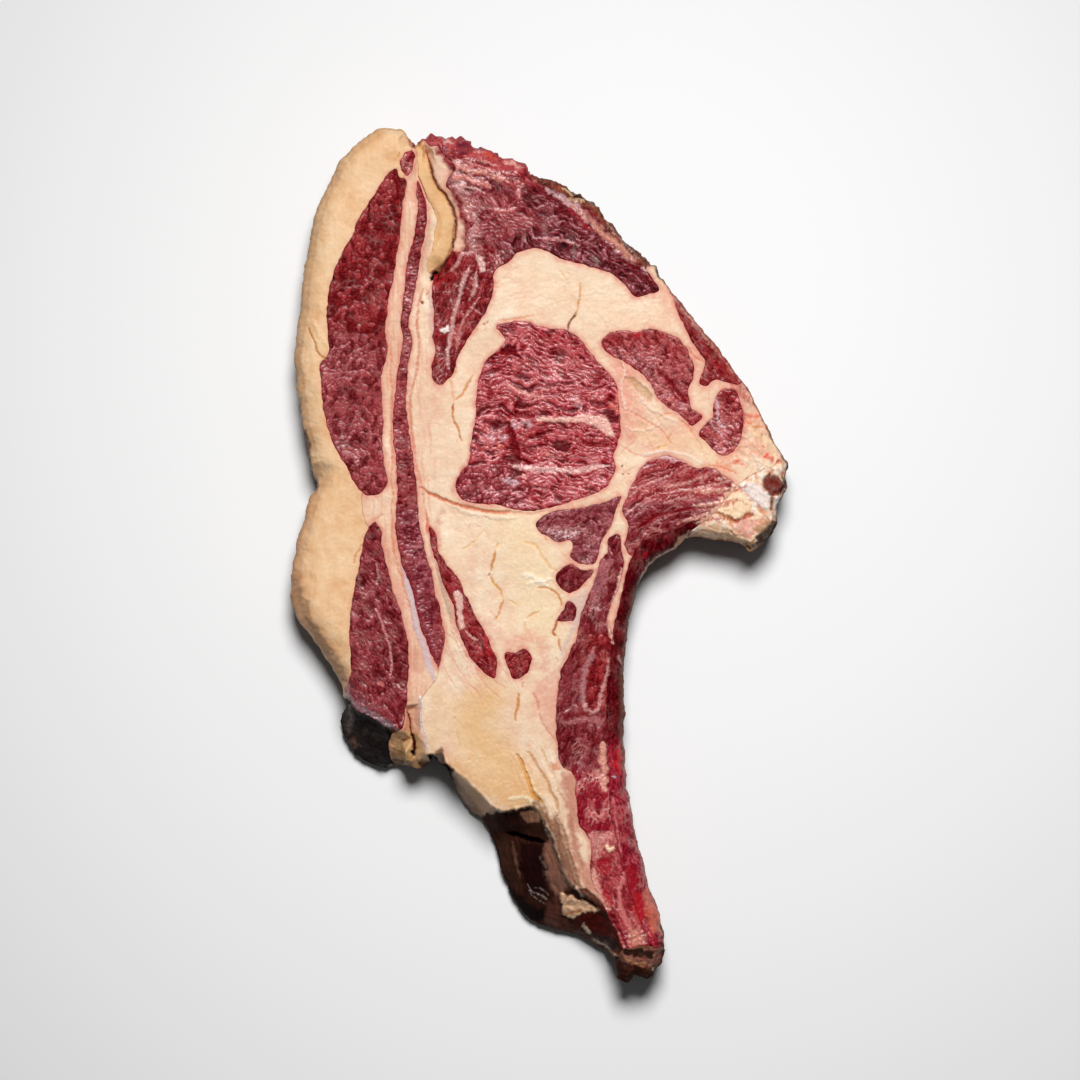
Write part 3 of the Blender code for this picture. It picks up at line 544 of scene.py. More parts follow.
def fine_loops(name, solid, network):
    """The rims of a solid on the shared curves, with each point's outer flag and foot."""
    made = []
    for loop in solid.loops:
        points, outer, feet = [], [], []
        for i, corner in enumerate(loop):
            ahead = loop[(i + 1) % len(loop)]
            start, end = network.root((name, corner)), network.root((name, ahead))
            if start == end:
                continue
            line = network.curve(start, end)
            shares = np.linspace(0, 1, len(line), endpoint=False)[:, None]
            lean = [network.spot(name, c) - network.points[network.root((name, c))]
                    for c in (corner, ahead)]
            points.append(line + GAP_KEPT * (lean[0] * (1 - shares) + lean[1] * shares))
            outer += [(name, corner, ahead) in network.outer] * len(line)
            foot = []
            for c in (corner, ahead):
                spot = network.spot(name, c)
                low = solid.foot.find((spot[0], spot[1], 0))[0]
                foot.append(np.array(low)[:2] - spot)
            feet.append(foot[0] * (1 - shares) + foot[1] * shares)
        points = np.vstack(points)
        outer = np.array(outer)
        outer = outer | np.roll(outer, 1)
        made.append((points, outer, np.vstack(feet)))
    return made


def fill_points(loops):
    """Evenly staggered points inside the loops, clear of them."""
    starts = np.vstack([points for points, _, _ in loops])
    ends = np.vstack([np.roll(points, -1, axis=0) for points, _, _ in loops])
    tree = tree_of(starts)
    low, high = starts.min(axis=0), starts.max(axis=0)
    pitch = FILL_STEP * math.sqrt(3) / 2
    found = []
    for row in range(1, int((high[1] - low[1]) / pitch) + 1):
        y = low[1] + row * pitch
        spans = (starts[:, 1] > y) != (ends[:, 1] > y)
        a, b = starts[spans], ends[spans]
        crossings = np.sort(a[:, 0] + (b[:, 0] - a[:, 0]) * (y - a[:, 1]) / (b[:, 1] - a[:, 1]))
        shift = FILL_STEP / 2 * (row % 2)
        for left, right in zip(crossings[::2], crossings[1::2]):
            first = math.ceil((left - low[0] - shift) / FILL_STEP)
            last = math.floor((right - low[0] - shift) / FILL_STEP)
            for n in range(first, last + 1):
                x = low[0] + shift + n * FILL_STEP
                if tree.find((x, y, 0))[2] > FILL_CLEARANCE:
                    found.append((x, y))
    return np.array(found).reshape(-1, 2)


def triangles_inside(points, edges, rim_count):
    """Triangles over POINTS that keep the rim's edges and leave out the holes in it."""
    made = geometry.delaunay_2d_cdt(points, edges, [], 2, 1e-6)
    if len(made[0]) != len(points):
        raise ValueError("a fine rim crosses itself or its neighbour")
    faces = np.array([tuple(face) for face in made[2]], int)
    spots = np.array([tuple(v) for v in points])
    starts, ends = spots[[a for a, _ in edges]], spots[[b for _, b in edges]]
    kept = np.ones(len(faces), bool)
    doubtful = np.nonzero((faces < rim_count).all(axis=1))[0]
    centres = spots[faces[doubtful]].mean(axis=1)
    for first in range(0, len(doubtful), BATCH):
        x, y = centres[first:first + BATCH, :1], centres[first:first + BATCH, 1:]
        spans = (starts[:, 1] > y) != (ends[:, 1] > y)
        rise = np.where(spans, ends[:, 1] - starts[:, 1], 1)
        across = starts[:, 0] + (ends[:, 0] - starts[:, 0]) * (y - starts[:, 1]) / rise
        kept[doubtful[first:first + BATCH]] = (spans & (x < across)).sum(axis=1) % 2 == 1
    return spots, faces[kept]


def vectors(points):
    """Flat points as the triangulation takes them."""
    return [Vector((float(x), float(y))) for x, y in points]


def rim_edges(loops):
    """The points of all the rims, and the edges between them."""
    points, edges = [], []
    for line, _, _ in loops:
        first, count = len(points), len(line)
        points += vectors(line)
        edges += [(first + i, first + (i + 1) % count) for i in range(count)]
    return points, edges


def fill_top(loops):
    """Triangles over the inside of the loops: the points, and the faces."""
    rim, edges = rim_edges(loops)
    return triangles_inside(rim + vectors(fill_points(loops)), edges, len(rim))


def outward_ways(line):
    """The level way out of the piece at each point of its rim."""
    ahead = sum(np.roll(line, -n, axis=0) - np.roll(line, n, axis=0) for n in (2, 4, 6))
    way = np.stack([ahead[:, 1], -ahead[:, 0]], axis=1)
    return way / np.maximum(np.linalg.norm(way, axis=1, keepdims=True), 1e-9)


def lift_beside_crevice(name, flat, top):
    """Keeps both banks of the crevice beside the fold high, so that it stays narrow."""
    if name not in BESIDE_CREVICE:
        return top
    line = np.array(FOLD_CREVICE, float)
    gap, place, _ = line_distance(flat, line)
    length = np.linalg.norm(np.diff(line, axis=0), axis=1).sum()
    share = 1 - step(*BANK_REACH, gap)
    share = share * step(0, BANK_ENDS, place) * step(0, BANK_ENDS, length - place)
    lifted = BANK_TOP - sum(deep * np.exp(-(gap / wide) ** 2) for deep, wide in CREVICE_DROPS)
    return top + np.maximum(lifted - top, 0) * share


def wall_column(corner, high, top, floor, outer, foot):
    """The points below one corner of a rim, which lean in to the foot where the wall shows."""
    rows = WALL_ROWS if outer else 1
    levels = floor + (high - floor) * (1 - np.arange(1, rows + 1) / rows)
    lean = (1 - levels / top)[:, None] ** WALL_BOW * foot if outer else 0
    return np.column_stack([np.tile(corner, (rows, 1)) + lean, levels])


def make_piece(name, loops, heights, floor=0.0, ceiling=None):
    """A fine closed mesh in the place of a solid, from its rims."""
    flat, faces = fill_top(loops)
    tops = [lift_beside_crevice(name, flat, heights.at(flat))]
    high = tops[0] if ceiling is None else np.full(len(flat), ceiling)
    spots = [np.column_stack([flat, high])]
    wall = [np.full(len(flat), CUT_FACE)]
    made = [faces]
    count = len(flat)
    columns, first = [], 0
    for line, outer, feet in loops:
        ring = []
        for i, corner in enumerate(line):
            n = first + i
            column = wall_column(corner, high[n], tops[0][n], floor, outer[i], feet[i])
            rows = len(column)
            spots.append(column)
            wall.append(np.full(rows, OUTER_WALL if outer[i] else INNER_WALL))
            tops.append(np.full(rows, tops[0][n]))
            ring.append([n] + list(range(count, count + rows)))
            count += rows
        columns.append(ring)
        first += len(line)
    for ring in columns:
        for i, start in enumerate(ring):
            made.append(np.array(wall_faces(start, ring[(i + 1) % len(ring)])))
    made.append(floor_faces(loops, columns))
    return Piece(name, np.vstack(spots), np.vstack(made), np.concatenate(tops),
                 np.concatenate(wall))


def wall_faces(start, end):
    """Triangles between two upright columns of corners, which may have different counts."""
    if len(start) == len(end):
        quads = zip(start, start[1:], end, end[1:])
        return [f for a, b, c, d in quads for f in ([a, b, d], [a, d, c])]
    if len(start) > len(end):
        fan = [[a, b, end[0]] for a, b in zip(start, start[1:])]
        return fan + [[start[-1], end[-1], end[0]]]
    fan = [[start[0], b, a] for a, b in zip(end, end[1:])]
    return fan + [[start[0], start[-1], end[-1]]]


def floor_faces(loops, columns):
    """The underside, joined over the feet of the walls as the rims above them would be."""
    order = [column[-1] for ring in columns for column in ring]
    flat, edges = rim_edges(loops)
    _, faces = triangles_inside(flat, edges, len(flat))
    return np.array(order)[faces[:, ::-1]]


class Stroke(NamedTuple):
    """A line on the surface, with lengths in millimetres.

    WIDTH is half of its breadth, SOFT the share of that over which it fades, ROUGH how ragged its
    edge is, TAPER the length over which its ends narrow, RELIEF how far it stands up and GRIT how
    lumpy it is.
    """

    points: tuple
    width: float
    colour: tuple
    strength: float = 1.0
    relief: float = 0.0
    soft: float = 0.6
    rough: float = 0.25
    taper: float = 0.0
    grit: float = 0.0


class Patch(NamedTuple):
    """A closed area of the surface. Its edge fades over SOFT and wanders by ROUGH."""

    points: tuple
    colour: tuple
    strength: float = 1.0
    relief: float = 0.0
    soft: float = 1.0
    rough: float = 0.6
    grit: float = 0.0


AMBER = (190, 112, 40)
RUST = (196, 92, 50)
RAW_RED = (190, 26, 36)
DARK_RED = (92, 6, 14)
PALE_PINK = (226, 168, 158)

# How wide the waves of a patch's edge are, and from what to what those of a stroke's
PATCH_WAVES = 2.2
STROKE_WAVES = (1.2, 4.0)

# How much of its width a stroke keeps at its ends
END_SHARE = 0.25


def crack(points, width=0.5, colour=AMBER, depth=0.7, strength=0.95):
    """A narrow cleft that tapers to its ends."""
    return Stroke(points, width, colour, strength, -depth, 0.7, 0.2, 2.5)


def wash(points, width, colour, strength=0.6, rough=2.0):
    """A broad soft change of colour along a line."""
    return Stroke(points, width, colour, strength, 0.0, 1.0, rough, 0.0)


def vein(points, width=0.7, colour=PALE_PINK, strength=0.8):
    """A pale line of fat between fibres."""
    return Stroke(points, width, colour, strength, 0.1, 0.8, 0.45, 3.0)


FAT_MARKS = (
    # Broad changes of colour
    wash(((-10, 12), (-4, -8), (2, -30)), 20, (250, 224, 180), 0.7),
    wash(((-30, 8), (-38, -2), (-30, -24)), 8, (250, 222, 188), 0.5),
    wash(((-24, -64), (-30, -78), (-14, -96), (-6, -106)), 15, (236, 186, 130), 0.9),
    wash(((-36, -96), (-22, -104), (-12, -110)), 11, (228, 174, 116), 0.8),
    wash(((-46, -62), (-47, -76), (-49, -88)), 6, (236, 196, 150), 0.6),
    wash(((2, -60), (8, -76), (12, -92), (14, -110)), 7, (232, 176, 146), 0.75),
    wash(((-30, 8), (-30, -30), (-20, -50)), 4, (232, 174, 150), 0.3),
    wash(((38, 84), (42, 66), (52, 52), (70, 56)), 12, (236, 156, 132), 0.7),
    wash(((58, 118), (78, 92), (96, 68)), 9, (234, 160, 138), 0.7),
    wash(((-34, 100), (-30, 88), (-36, 74)), 5, (244, 196, 168), 0.5),
    wash(((46, 56), (56, 50), (68, 52), (78, 44)), 6, (248, 210, 166), 0.7),
    wash(((82, 40), (94, 50), (100, 46), (97, 60)), 7, (236, 156, 126), 0.7),
    wash(((68, 86), (74, 96), (84, 84)), 5, (234, 146, 124), 0.6),
    wash(((96, 56), (102, 52), (106, 44)), 3, (250, 214, 170), 0.7),
    wash(((30, 112), (44, 104), (54, 108)), 8, (244, 196, 164), 0.5),
    wash(((-41, 163), (-37, 152), (-37, 141)), 2.6, (216, 150, 140), 0.5, 1.2),
    wash(((62, 92), (72, 80), (80, 78)), 6, (236, 168, 146), 0.5),
    wash(((0, 126), (12, 118), (30, 108)), 16, (250, 220, 186), 0.6),
    wash(((-26, 96), (-34, 84), (-40, 70), (-46, 46), (-47, 24)), 7, (247, 212, 182), 0.5),
    # Pink fat beside the muscles
    wash(((36, 88), (38, 70), (40, 52)), 4.5, (232, 150, 130), 0.6),
    wash(((-14, -40), (0, -38), (2, -50)), 5, (230, 150, 130), 0.55),
    wash(((-26, -28), (-18, -36)), 4, (230, 160, 140), 0.4),
    wash(((-58, 0), (-62, -16), (-60, -36)), 4, (228, 160, 142), 0.5),
    wash(((-44, 20), (-48, 6), (-44, -10), (-38, -30), (-28, -48)), 2.6, (212, 150, 128), 0.6),
    wash(((-42, -42), (-36, -54), (-26, -62)), 4, (230, 172, 144), 0.55),
    wash(((-54, -44), (-56, -60), (-56, -74)), 4, (232, 178, 150), 0.5),
    # The golden rim of the cap of fat, and the brown edge of its lower lobe
    wash(((-110, 92), (-108, 112), (-103, 146), (-90, 176), (-74, 191)), 6, (224, 168, 112), 0.7),
    wash(((-104, 50), (-108, 74), (-110, 92)), 5, (222, 164, 108), 0.8),
    wash(((-112, -12), (-110, 8), (-104, 26)), 8, (224, 154, 98), 0.8),
    wash(((-112, -12), (-108, -28), (-98, -44), (-88, -60)), 10, (220, 152, 98), 0.8),
    Stroke(((-111, -12), (-106, -22), (-102, -32), (-96, -43), (-88, -56)), 3.4, (152, 118, 92),
           0.75, -0.2, 0.8, 1.4),
    Patch(((-104, 36), (-103, 44), (-105, 57), (-107, 57), (-105, 44), (-103, 33)), (78, 46, 30),
          0.9),
    Stroke(((-97.3, 35.6), (-100.1, 38.3), (-102, 42.2), (-102.6, 46)), 1.2, (226, 178, 118), 0.8,
           0.4, 0.7, 0.3, 2),
    crack(((-104.5, 103.6), (-101.2, 96), (-99, 90.3), (-94.1, 88.2)), 0.6, (176, 118, 66)),
    Stroke(((-103, 108), (-98, 98), (-92, 90)), 1.6, (242, 208, 164), 0.5, 0.5, 0.9, 0.6, 4),
    crack(((-65, 178), (-63.5, 180), (-62.6, 181.4)), 0.6, (206, 140, 50)),
    # Cracks and folds round the eye
    Stroke(((-38, 86), (-39.6, 78), (-38.6, 69)), 0.9, (226, 160, 112), 0.7, -0.4, 0.8, 0.2, 3),
    crack(((-29.6, 81.5), (-33.4, 74.8), (-36, 71), (-38.4, 68.8)), 0.6, (214, 138, 70)),
    crack(((-38.4, 68.8), (-39, 66), (-38.8, 62), (-36.8, 56.6), (-34.8, 51.6)), 0.55),
    Stroke(((-39, 67.4), (-38.8, 64.5)), 0.9, (180, 84, 26), 0.95, -1.2, 0.7, 0.2, 2),
    crack(((18.2, 122.5), (17.8, 115), (16.6, 109), (14, 105.5)), 0.45, (206, 140, 66)),
    Stroke(((16.6, 109), (14.2, 106), (12.8, 103.4), (12.6, 101)), 0.75, (112, 26, 16), 0.95, -1,
           0.7, 0.15, 2),
    crack(((8, 129.6), (10, 127), (12, 124)), 0.5, (240, 186, 110), 0.2, 0.6),
    crack(((-19, 106), (-12, 106.4), (-2, 108)), 0.6, (226, 140, 96), 0.3, 0.7),
    Stroke(((-54, 31), (-50, 28.5), (-43.4, 25), (-35.7, 22.4), (-25.4, 20.3), (-18.6, 19.3),
            (-12.5, 19.7)), 1.1, (198, 92, 46), 0.95, -1.1, 0.9, 0.2, 6),
    Stroke(((-24, 19.6), (-14, 19.4), (-4, 18.8), (6, 19.6)), 0.8, (222, 150, 118), 0.5, -0.4,
           0.9, 0.3, 5),
    crack(((-25, 17.6), (-22, 16.6)), 0.4, RUST),
    Stroke(((-40, 22.4), (-26, 18), (-10, 17)), 1.6, (250, 226, 200), 0.5, 0.5, 0.9, 0.3, 5),
    crack(((-25, 104), (-23, 105.4)), 0.6, (190, 70, 50)),
    # Yellow flecks and lines right of the eye
    crack(((50.5, 46.8), (54, 48.6), (57.5, 50)), 0.6, (224, 160, 74), 0.3, 0.8),
    Stroke(((58, 53), (59.6, 54)), 0.9, (226, 150, 66), 0.8, -0.2, 0.8, 0.4, 1),
    Stroke(((53, 61.6), (56, 63.4), (58.6, 64)), 0.9, (228, 120, 50), 0.85, -0.3, 0.8, 0.4, 2),
    crack(((35, 44), (40, 49), (44, 53)), 0.5, (232, 150, 124), 0.2, 0.6),
    crack(((37, 36.4), (42, 39.6), (46, 42)), 0.4, (222, 140, 110), 0.2, 0.6),
    Stroke(((37, 40), (37.3, 40.2)), 0.6, (110, 40, 24), 0.9, -0.3, 0.6, 0.1),
    Stroke(((37.4, 36.4), (37.7, 36.5)), 0.5, (120, 50, 30), 0.9, -0.3, 0.6, 0.1),
    Stroke(((40.1, 36.9), (40.4, 37)), 0.5, (110, 50, 24), 0.9, -0.3, 0.6, 0.1),
    Stroke(((76, 41), (82, 39.4), (89, 37)), 1.0, (232, 112, 70), 0.8, -0.2, 0.8, 0.4, 4),
    Stroke(((45, 44.6), (56, 47), (66, 45), (74, 41)), 0.8, (246, 222, 210), 0.7, 0.3, 0.8, 0.3,
           5),
    # Ridges and cracks in the fat right of the eye
    Stroke(((35, 92), (38, 84), (37, 74), (39, 64)), 1.0, (252, 222, 204), 0.7, 0.5, 0.9, 0.8, 4),
    Stroke(((42, 78), (46, 70), (54, 64), (62, 60)), 1.1, (252, 224, 204), 0.7, 0.5, 0.9, 0.9, 4),
    Stroke(((38, 58), (46, 56), (54, 58)), 0.9, (252, 220, 196), 0.6, 0.4, 0.9, 0.8, 4),
    crack(((37, 88), (41, 80), (45, 72)), 0.5, (226, 130, 104), 0.3, 0.7),
    crack(((40, 66), (47, 61), (55, 56), (60, 50)), 0.5, (226, 134, 100), 0.4, 0.7),
    crack(((62, 62), (68, 56), (73, 48)), 0.5, (230, 140, 96), 0.4, 0.7),
    crack(((36, 50), (42, 46), (50, 44)), 0.5, (222, 128, 104), 0.3, 0.6),
    crack(((66, 94), (72, 88), (78, 86)), 0.6, (214, 96, 76), 0.3, 0.7),
    # Blood and chips beside the chine
    Stroke(((90, 66), (91.4, 63), (92, 60.6)), 1.9, RAW_RED, 0.85, 0.1, 0.9, 1.2),
    Stroke(((94.6, 62.6), (98, 62.6)), 2.0, (236, 96, 78), 0.7, 0, 0.9, 1.4),
    Stroke(((92.6, 60), (95, 59.4)), 1.0, (222, 70, 30), 0.7, 0, 0.9, 0.8),
    Stroke(((88.6, 42), (91.6, 41)), 1.8, (238, 108, 74), 0.8, 0, 0.9, 1.2),
    Stroke(((80, 41.6), (85, 40.6)), 1.3, (236, 140, 100), 0.7, 0, 0.9, 1.0),
    Stroke(((102, 45), (104.4, 43)), 1.5, (222, 44, 44), 0.85, 0, 0.9, 1.0),
    Patch(((106, 42.6), (109.6, 43.6), (111, 40), (107.6, 37)), (206, 82, 54), 0.85),
    Patch(((103.4, 38.8), (105, 40), (107.6, 38), (105.6, 35.6), (103.4, 36.6)), (240, 190, 110),
          0.9, 0.5),
    Patch(((85, 78), (91, 77), (95, 70), (96, 67), (92, 70), (87, 74)), (180, 50, 52), 0.6),
    crack(((95, 58), (98, 57.6), (101, 58)), 0.9, (214, 130, 74), 0.4, 0.8),
    crack(((99.8, 55), (100.2, 53)), 0.7, (160, 80, 50), 0.6),
    crack(((97.4, 52), (98.2, 50.4)), 0.5, (150, 70, 40), 0.5),
    crack(((100.4, 49.6), (101.6, 48.4)), 0.6, (200, 60, 44), 0.4),
    Stroke(((96, 46), (99, 41), (100, 36)), 1.6, (252, 232, 216), 0.6, 0.7, 0.8, 0.8, 2),
    # Cracks in the lower fat
    crack(((-17.8, 6), (-19.4, 3.6), (-20.2, 1.4)), 0.4, (232, 180, 110)),
    Stroke(((-19.9, 1.6), (-20.4, -0.4), (-21.4, -4), (-22, -7)), 0.7, (196, 120, 30), 0.95, -1,
           0.7, 0.15, 2),
    Stroke(((-22.4, -8), (-23.2, -9.4)), 0.9, (176, 84, 30), 0.9, -0.8, 0.7, 0.3, 1),
    crack(((-22.8, -8.6), (-20.4, -12.4), (-17.6, -15.8), (-16.3, -19.6)), 0.65, (220, 160, 84)),
    crack(((-16.3, -19.6), (-17.4, -24), (-20.2, -29.8)), 0.6, (212, 130, 76)),
    Stroke(((-7.3, 5.8), (-3.1, 4.4), (0.6, 0.6), (4, -4.2), (7.6, -7.4)), 0.9, (238, 184, 112),
           0.75, -0.4, 0.9, 0.4, 4),
    crack(((-1.2, -15), (4.4, -15), (7.4, -17), (9.6, -20), (10, -24)), 0.6, (206, 132, 60)),
    Stroke(((8.8, -28), (7, -32.6), (6.4, -35), (8, -36.8)), 0.8, (186, 84, 34), 0.95, -0.9, 0.7,
           0.25, 2),
    crack(((8.2, -36.4), (8.8, -40), (9.8, -44)), 0.55, (206, 124, 70)),
    crack(((7.6, -45.6), (8.2, -48)), 0.6, (196, 104, 60)),
    crack(((-5.7, -28.4), (-3, -26.4), (0, -25.2)), 0.7, (224, 154, 84), 0.5, 0.85),
    crack(((-35.2, 2.3), (-29, 7), (-24.8, 11.8)), 0.6, (238, 190, 126), 0.3, 0.7),
    crack(((-25, 12), (-22, 5)), 0.5, (240, 196, 140), 0.2, 0.5),
    crack(((-6.8, -30), (-6.2, -34), (-4.5, -37)), 0.5, (238, 176, 120), 0.3, 0.6),
    Stroke(((-13.6, -20.6), (-12, -21.4), (-10.6, -22)), 1.0, (236, 178, 96), 0.7, -0.3, 0.8, 0.6,
           1),
    Stroke(((-8, -8), (-3, -10), (3, -13.4)), 1.8, (255, 248, 234), 0.6, 0.5, 0.9, 0.9, 2),
    Stroke(((-6, -13), (-1, -12), (6, -10)), 1.2, (255, 246, 230), 0.5, 0.4, 0.9, 0.7, 2),
    crack(((2, 9), (2.6, 6.6), (3.4, 5)), 0.5, (232, 140, 110), 0.2, 0.7),
    crack(((-7, -57.5), (-7.5, -60)), 0.55, (178, 62, 30)),
    Stroke(((-9.3, -62.6), (-9.8, -67), (-11, -72), (-10.6, -75)), 0.75, (206, 130, 44), 0.95,
           -0.9, 0.7, 0.2, 2),
    crack(((-2.6, -62), (-1.4, -66), (-0.4, -70.4)), 0.55, (206, 110, 76)),
    crack(((-0.4, -70.4), (2.7, -77.5), (5.9, -81.6), (8.2, -87.6)), 0.5, (206, 124, 96), 0.4,
          0.8),
    Patch(((-4, -62), (7, -50), (9, -74), (12, -92), (4, -80)), (232, 164, 142), 0.6, 0, 2, 1),
    # Grooves in the lower slab
    Stroke(((-10.4, -89), (-7.4, -95), (-5, -101), (-3, -107), (1.6, -112)), 1.3, (218, 152, 66),
           0.95, -1.4, 0.8, 0.3, 4),
    Stroke(((-5, -88), (-1, -94), (3, -101), (6.4, -109), (9, -116)), 0.9, (196, 136, 82), 0.85,
           -0.9, 0.8, 0.3, 4),
    Stroke(((0, -86), (4, -94), (7, -101), (10, -110)), 0.8, (222, 170, 120), 0.6, -0.5, 0.8, 0.3,
           4),
    Stroke(((-7, -94), (-3.4, -102), (0.8, -109)), 0.9, (252, 226, 176), 0.7, 0.6, 0.8, 0.3, 4),
    Patch(((4.6, -92), (8, -93), (9.4, -96), (6, -96.6)), (222, 128, 88), 0.75),
    crack(((-38.6, -73), (-38, -74.6)), 0.6, (214, 146, 60)),
    crack(((-37.6, -79), (-37, -82), (-35.4, -87)), 0.5, (226, 170, 100), 0.3, 0.7),
    Stroke(((-14, -109.6), (-8, -109), (-3, -110.6), (-4, -113)), 1.5, (250, 232, 196), 0.8, 0.4,
           0.8, 0.5, 2),
    Patch(((-44, -64), (-24, -62), (-12, -84), (-9, -96), (-20, -108), (-36, -92)),
          (240, 198, 144), 0.35, 0.1, 6, 2),
    # Cracks in the lower lobe
    crack(((-80, 5), (-82.5, 0), (-84, -5)), 0.5, (206, 140, 90)),
    crack(((-76, 15.5), (-73, 17), (-70, 18.5)), 0.5, (206, 140, 90), 0.5, 0.8),
    # Fascia lines beside the strip muscle
    Stroke(((-52, 121), (-54.3, 113), (-55, 108), (-54.4, 101), (-54.6, 90.3), (-55.5, 82),
            (-58, 73.7), (-58, 62.7), (-57.2, 51.6), (-55.8, 43.3)), 0.8, (212, 104, 80), 0.75,
           -0.5, 0.8, 0.3, 5),
    Stroke(((-55.8, 43.3), (-52, 25), (-50, 12)), 0.8, (222, 126, 96), 0.7, -0.4, 0.8, 0.3, 5),
    Patch(((-50.4, 20), (-49, 14), (-46, 9), (-47, 3), (-49, 6), (-51, 12)), (214, 84, 66), 0.8,
          0, 0.8, 0.3),
    Stroke(((-53.2, 114.4), (-52.4, 112.8)), 0.9, (120, 20, 16), 0.95, -1.2, 0.5, 0.2, 1),
    crack(((-50, 119), (-50.8, 116.4)), 0.5, (130, 50, 40)),
    # The near-black foot of the crevice beside the fold: painted shadow
    Stroke(((-49, 123.6), (-47.6, 126), (-45.8, 127.8)), 1.3, (34, 6, 8), 1, -2.2, 0.4, 0.3, 1),
    Stroke(((-67, 96), (-66.6, 60), (-66.4, 30), (-66.4, 10), (-64, -4), (-58, -26), (-54.4, -40)),
           0.6, (220, 116, 84), 0.75, -0.4, 0.8, 0.3, 6),
    # The pale wedge, and the crevice beside the fold, darkened along its line with painted shade
    wash(((-50, 183), (-47, 177), (-44.6, 170)), 3.6, (240, 200, 174), 0.85, 1.0),
    Stroke(((-54, 186), (-52.4, 183), (-51, 181)), 1.4, (196, 128, 70), 0.8, -0.3, 0.8, 0.5, 1),
    Stroke(((-51, 181.6), *FOLD_CREVICE[1:]), 0.9, (150, 76, 40), 0.95, 0, 0.8, 0.3, 3),
    # The pale film beside the strip muscle, and the streaks that follow the inner strip
    Stroke(((-47.4, 8), (-45.2, -6), (-42, -20), (-39.6, -28)), 1.2, (198, 164, 146), 0.8, 0.3,
           0.7, 0.3, 4),
    crack(((-41, -27), (-36, -42), (-28, -54), (-17, -65)), 0.45, (222, 150, 124), 0.3, 0.7),
    crack(((-43, -34), (-38.4, -48), (-30, -60), (-24, -66)), 0.4, (226, 156, 130), 0.2, 0.6),
    crack(((-39, -24), (-33, -40), (-24, -53), (-14, -61)), 0.4, (228, 158, 134), 0.2, 0.6),
    crack(((-45, -40), (-43, -50), (-37, -60)), 0.4, (226, 160, 134), 0.2, 0.6),
    Stroke(((-40, -30), (-35, -44), (-27, -56)), 0.7, (250, 218, 196), 0.6, 0.4, 0.8, 0.3, 4),
    # Silverskin
    Stroke(((-61.2, -5), (-59, -14.3), (-56.8, -25.2), (-53.8, -37), (-50, -47.5),
            (-47.6, -56.4)), 1.9, (214, 190, 196), 0.85, 0.2, 0.6, 0.3, 6),
    Stroke(((-53.7, -62), (-53.3, -72.5), (-52, -81.1), (-50.6, -89)), 0.8, (226, 206, 206),
           0.85, 0.3, 0.6, 0.2, 3),
    Stroke(((-53.5, -63), (-53.4, -65)), 0.9, (248, 244, 250), 0.9, 0.4, 0.6, 0.1, 1),
    Stroke(((-48.6, 120), (-49, 112), (-48.4, 104), (-48.6, 96)), 0.9, (212, 184, 182), 0.7, 0.3,
           0.7, 0.3, 4),
    # Pale pockets
    Patch(((38.4, 80), (42, 80.4), (47, 76), (50.6, 72), (50, 69), (44, 74)), (206, 158, 118),
          0.85, -1.0, 1.2, 0.5),
    Patch(((13, -20), (20, -16), (22, -14), (20, -28), (16, -33), (10, -46), (9, -44), (14, -32)),
          (214, 180, 172), 0.75, 0.1, 1.5, 0.4),
    # The broken edge of the slab, and the lump
    Patch(((-49, -91), (-45.6, -87.2), (-43.2, -85.6), (-42.8, -93), (-38, -98), (-30, -104.6),
           (-18.5, -115.2), (-26.5, -121), (-34, -117), (-39, -110), (-41, -103), (-47, -98)),
          (132, 96, 68), 0.95, 0, 1.4, 0.5),
    Patch(((-38, -98.4), (-30, -104.8), (-18.5, -115.4), (-24, -119), (-31, -110), (-38, -101)),
          (196, 152, 112), 0.9, 0, 1.4, 0.5),
    Patch(((-47, -90.6), (-45.4, -88.6), (-43.8, -89), (-43.6, -94.4), (-46, -96)), (150, 108, 76),
          0.8, 0, 0.6, 0.2),
    Patch(((-67.6, -82), (-66, -79.6), (-61, -78.6), (-54, -80), (-52, -88), (-52, -97),
           (-66, -97)), (220, 172, 118), 0.85, 0, 1.2, 0.6),
    Patch(((-68, -86), (-64, -87), (-60.4, -90), (-57, -90), (-53, -94), (-55, -98), (-66, -98)),
          (170, 126, 80), 0.8, 0, 0.8, 0.6),
    Patch(((-67, -91.6), (-62.6, -93), (-59, -92.4), (-56, -96), (-60, -98), (-66, -98)),
          (108, 74, 48), 0.8, 0, 0.8, 0.5),
    Stroke(((-62.4, -82.8), (-61.4, -84), (-60.4, -83)), 0.6, (190, 96, 30), 0.9, -0.6, 0.7, 0.2),
    Stroke(((-59.6, -70), (-58.2, -75), (-57.6, -80)), 0.55, (120, 30, 12), 0.95, -1.0, 0.6, 0.15,
           3),
    # The crack in the lump darkens to near black at its foot: painted shade
    Stroke(((-57.6, -80), (-56.8, -84), (-56.6, -88)), 1.15, (84, 16, 8), 1, -1.6, 0.5, 0.25, 1),
    Stroke(((-57.2, -88.2), (-56.4, -89.4)), 1.0, (18, 4, 4), 1, -1.5, 0.5, 0.2),
    # The torn side
    Patch(((-19, -115), (-12, -114.6), (-4, -113), (2, -119), (5, -127), (8, -136), (12, -146),
           (20, -153), (29, -158), (36, -167), (42, -180), (40, -188), (16, -178), (-8, -172),
           (-24, -150), (-30, -122), (-24, -117)), (56, 28, 20), 1, 0, 2.4, 1.0),
    Patch(((-24, -122), (-14, -128), (-11, -140), (-9, -151), (-15, -152), (-21, -137)),
          (66, 38, 26), 0.8, 0, 2.6, 1.0),
    Stroke(((-12.6, -130), (-10.6, -138), (-8.6, -147)), 0.9, (104, 70, 50), 0.8, 0.8, 0.7, 0.4,
           3),
    Patch(((-9, -116), (-4, -114.4), (0.4, -118), (0, -120.4), (-5, -120.4), (-8.4, -118)),
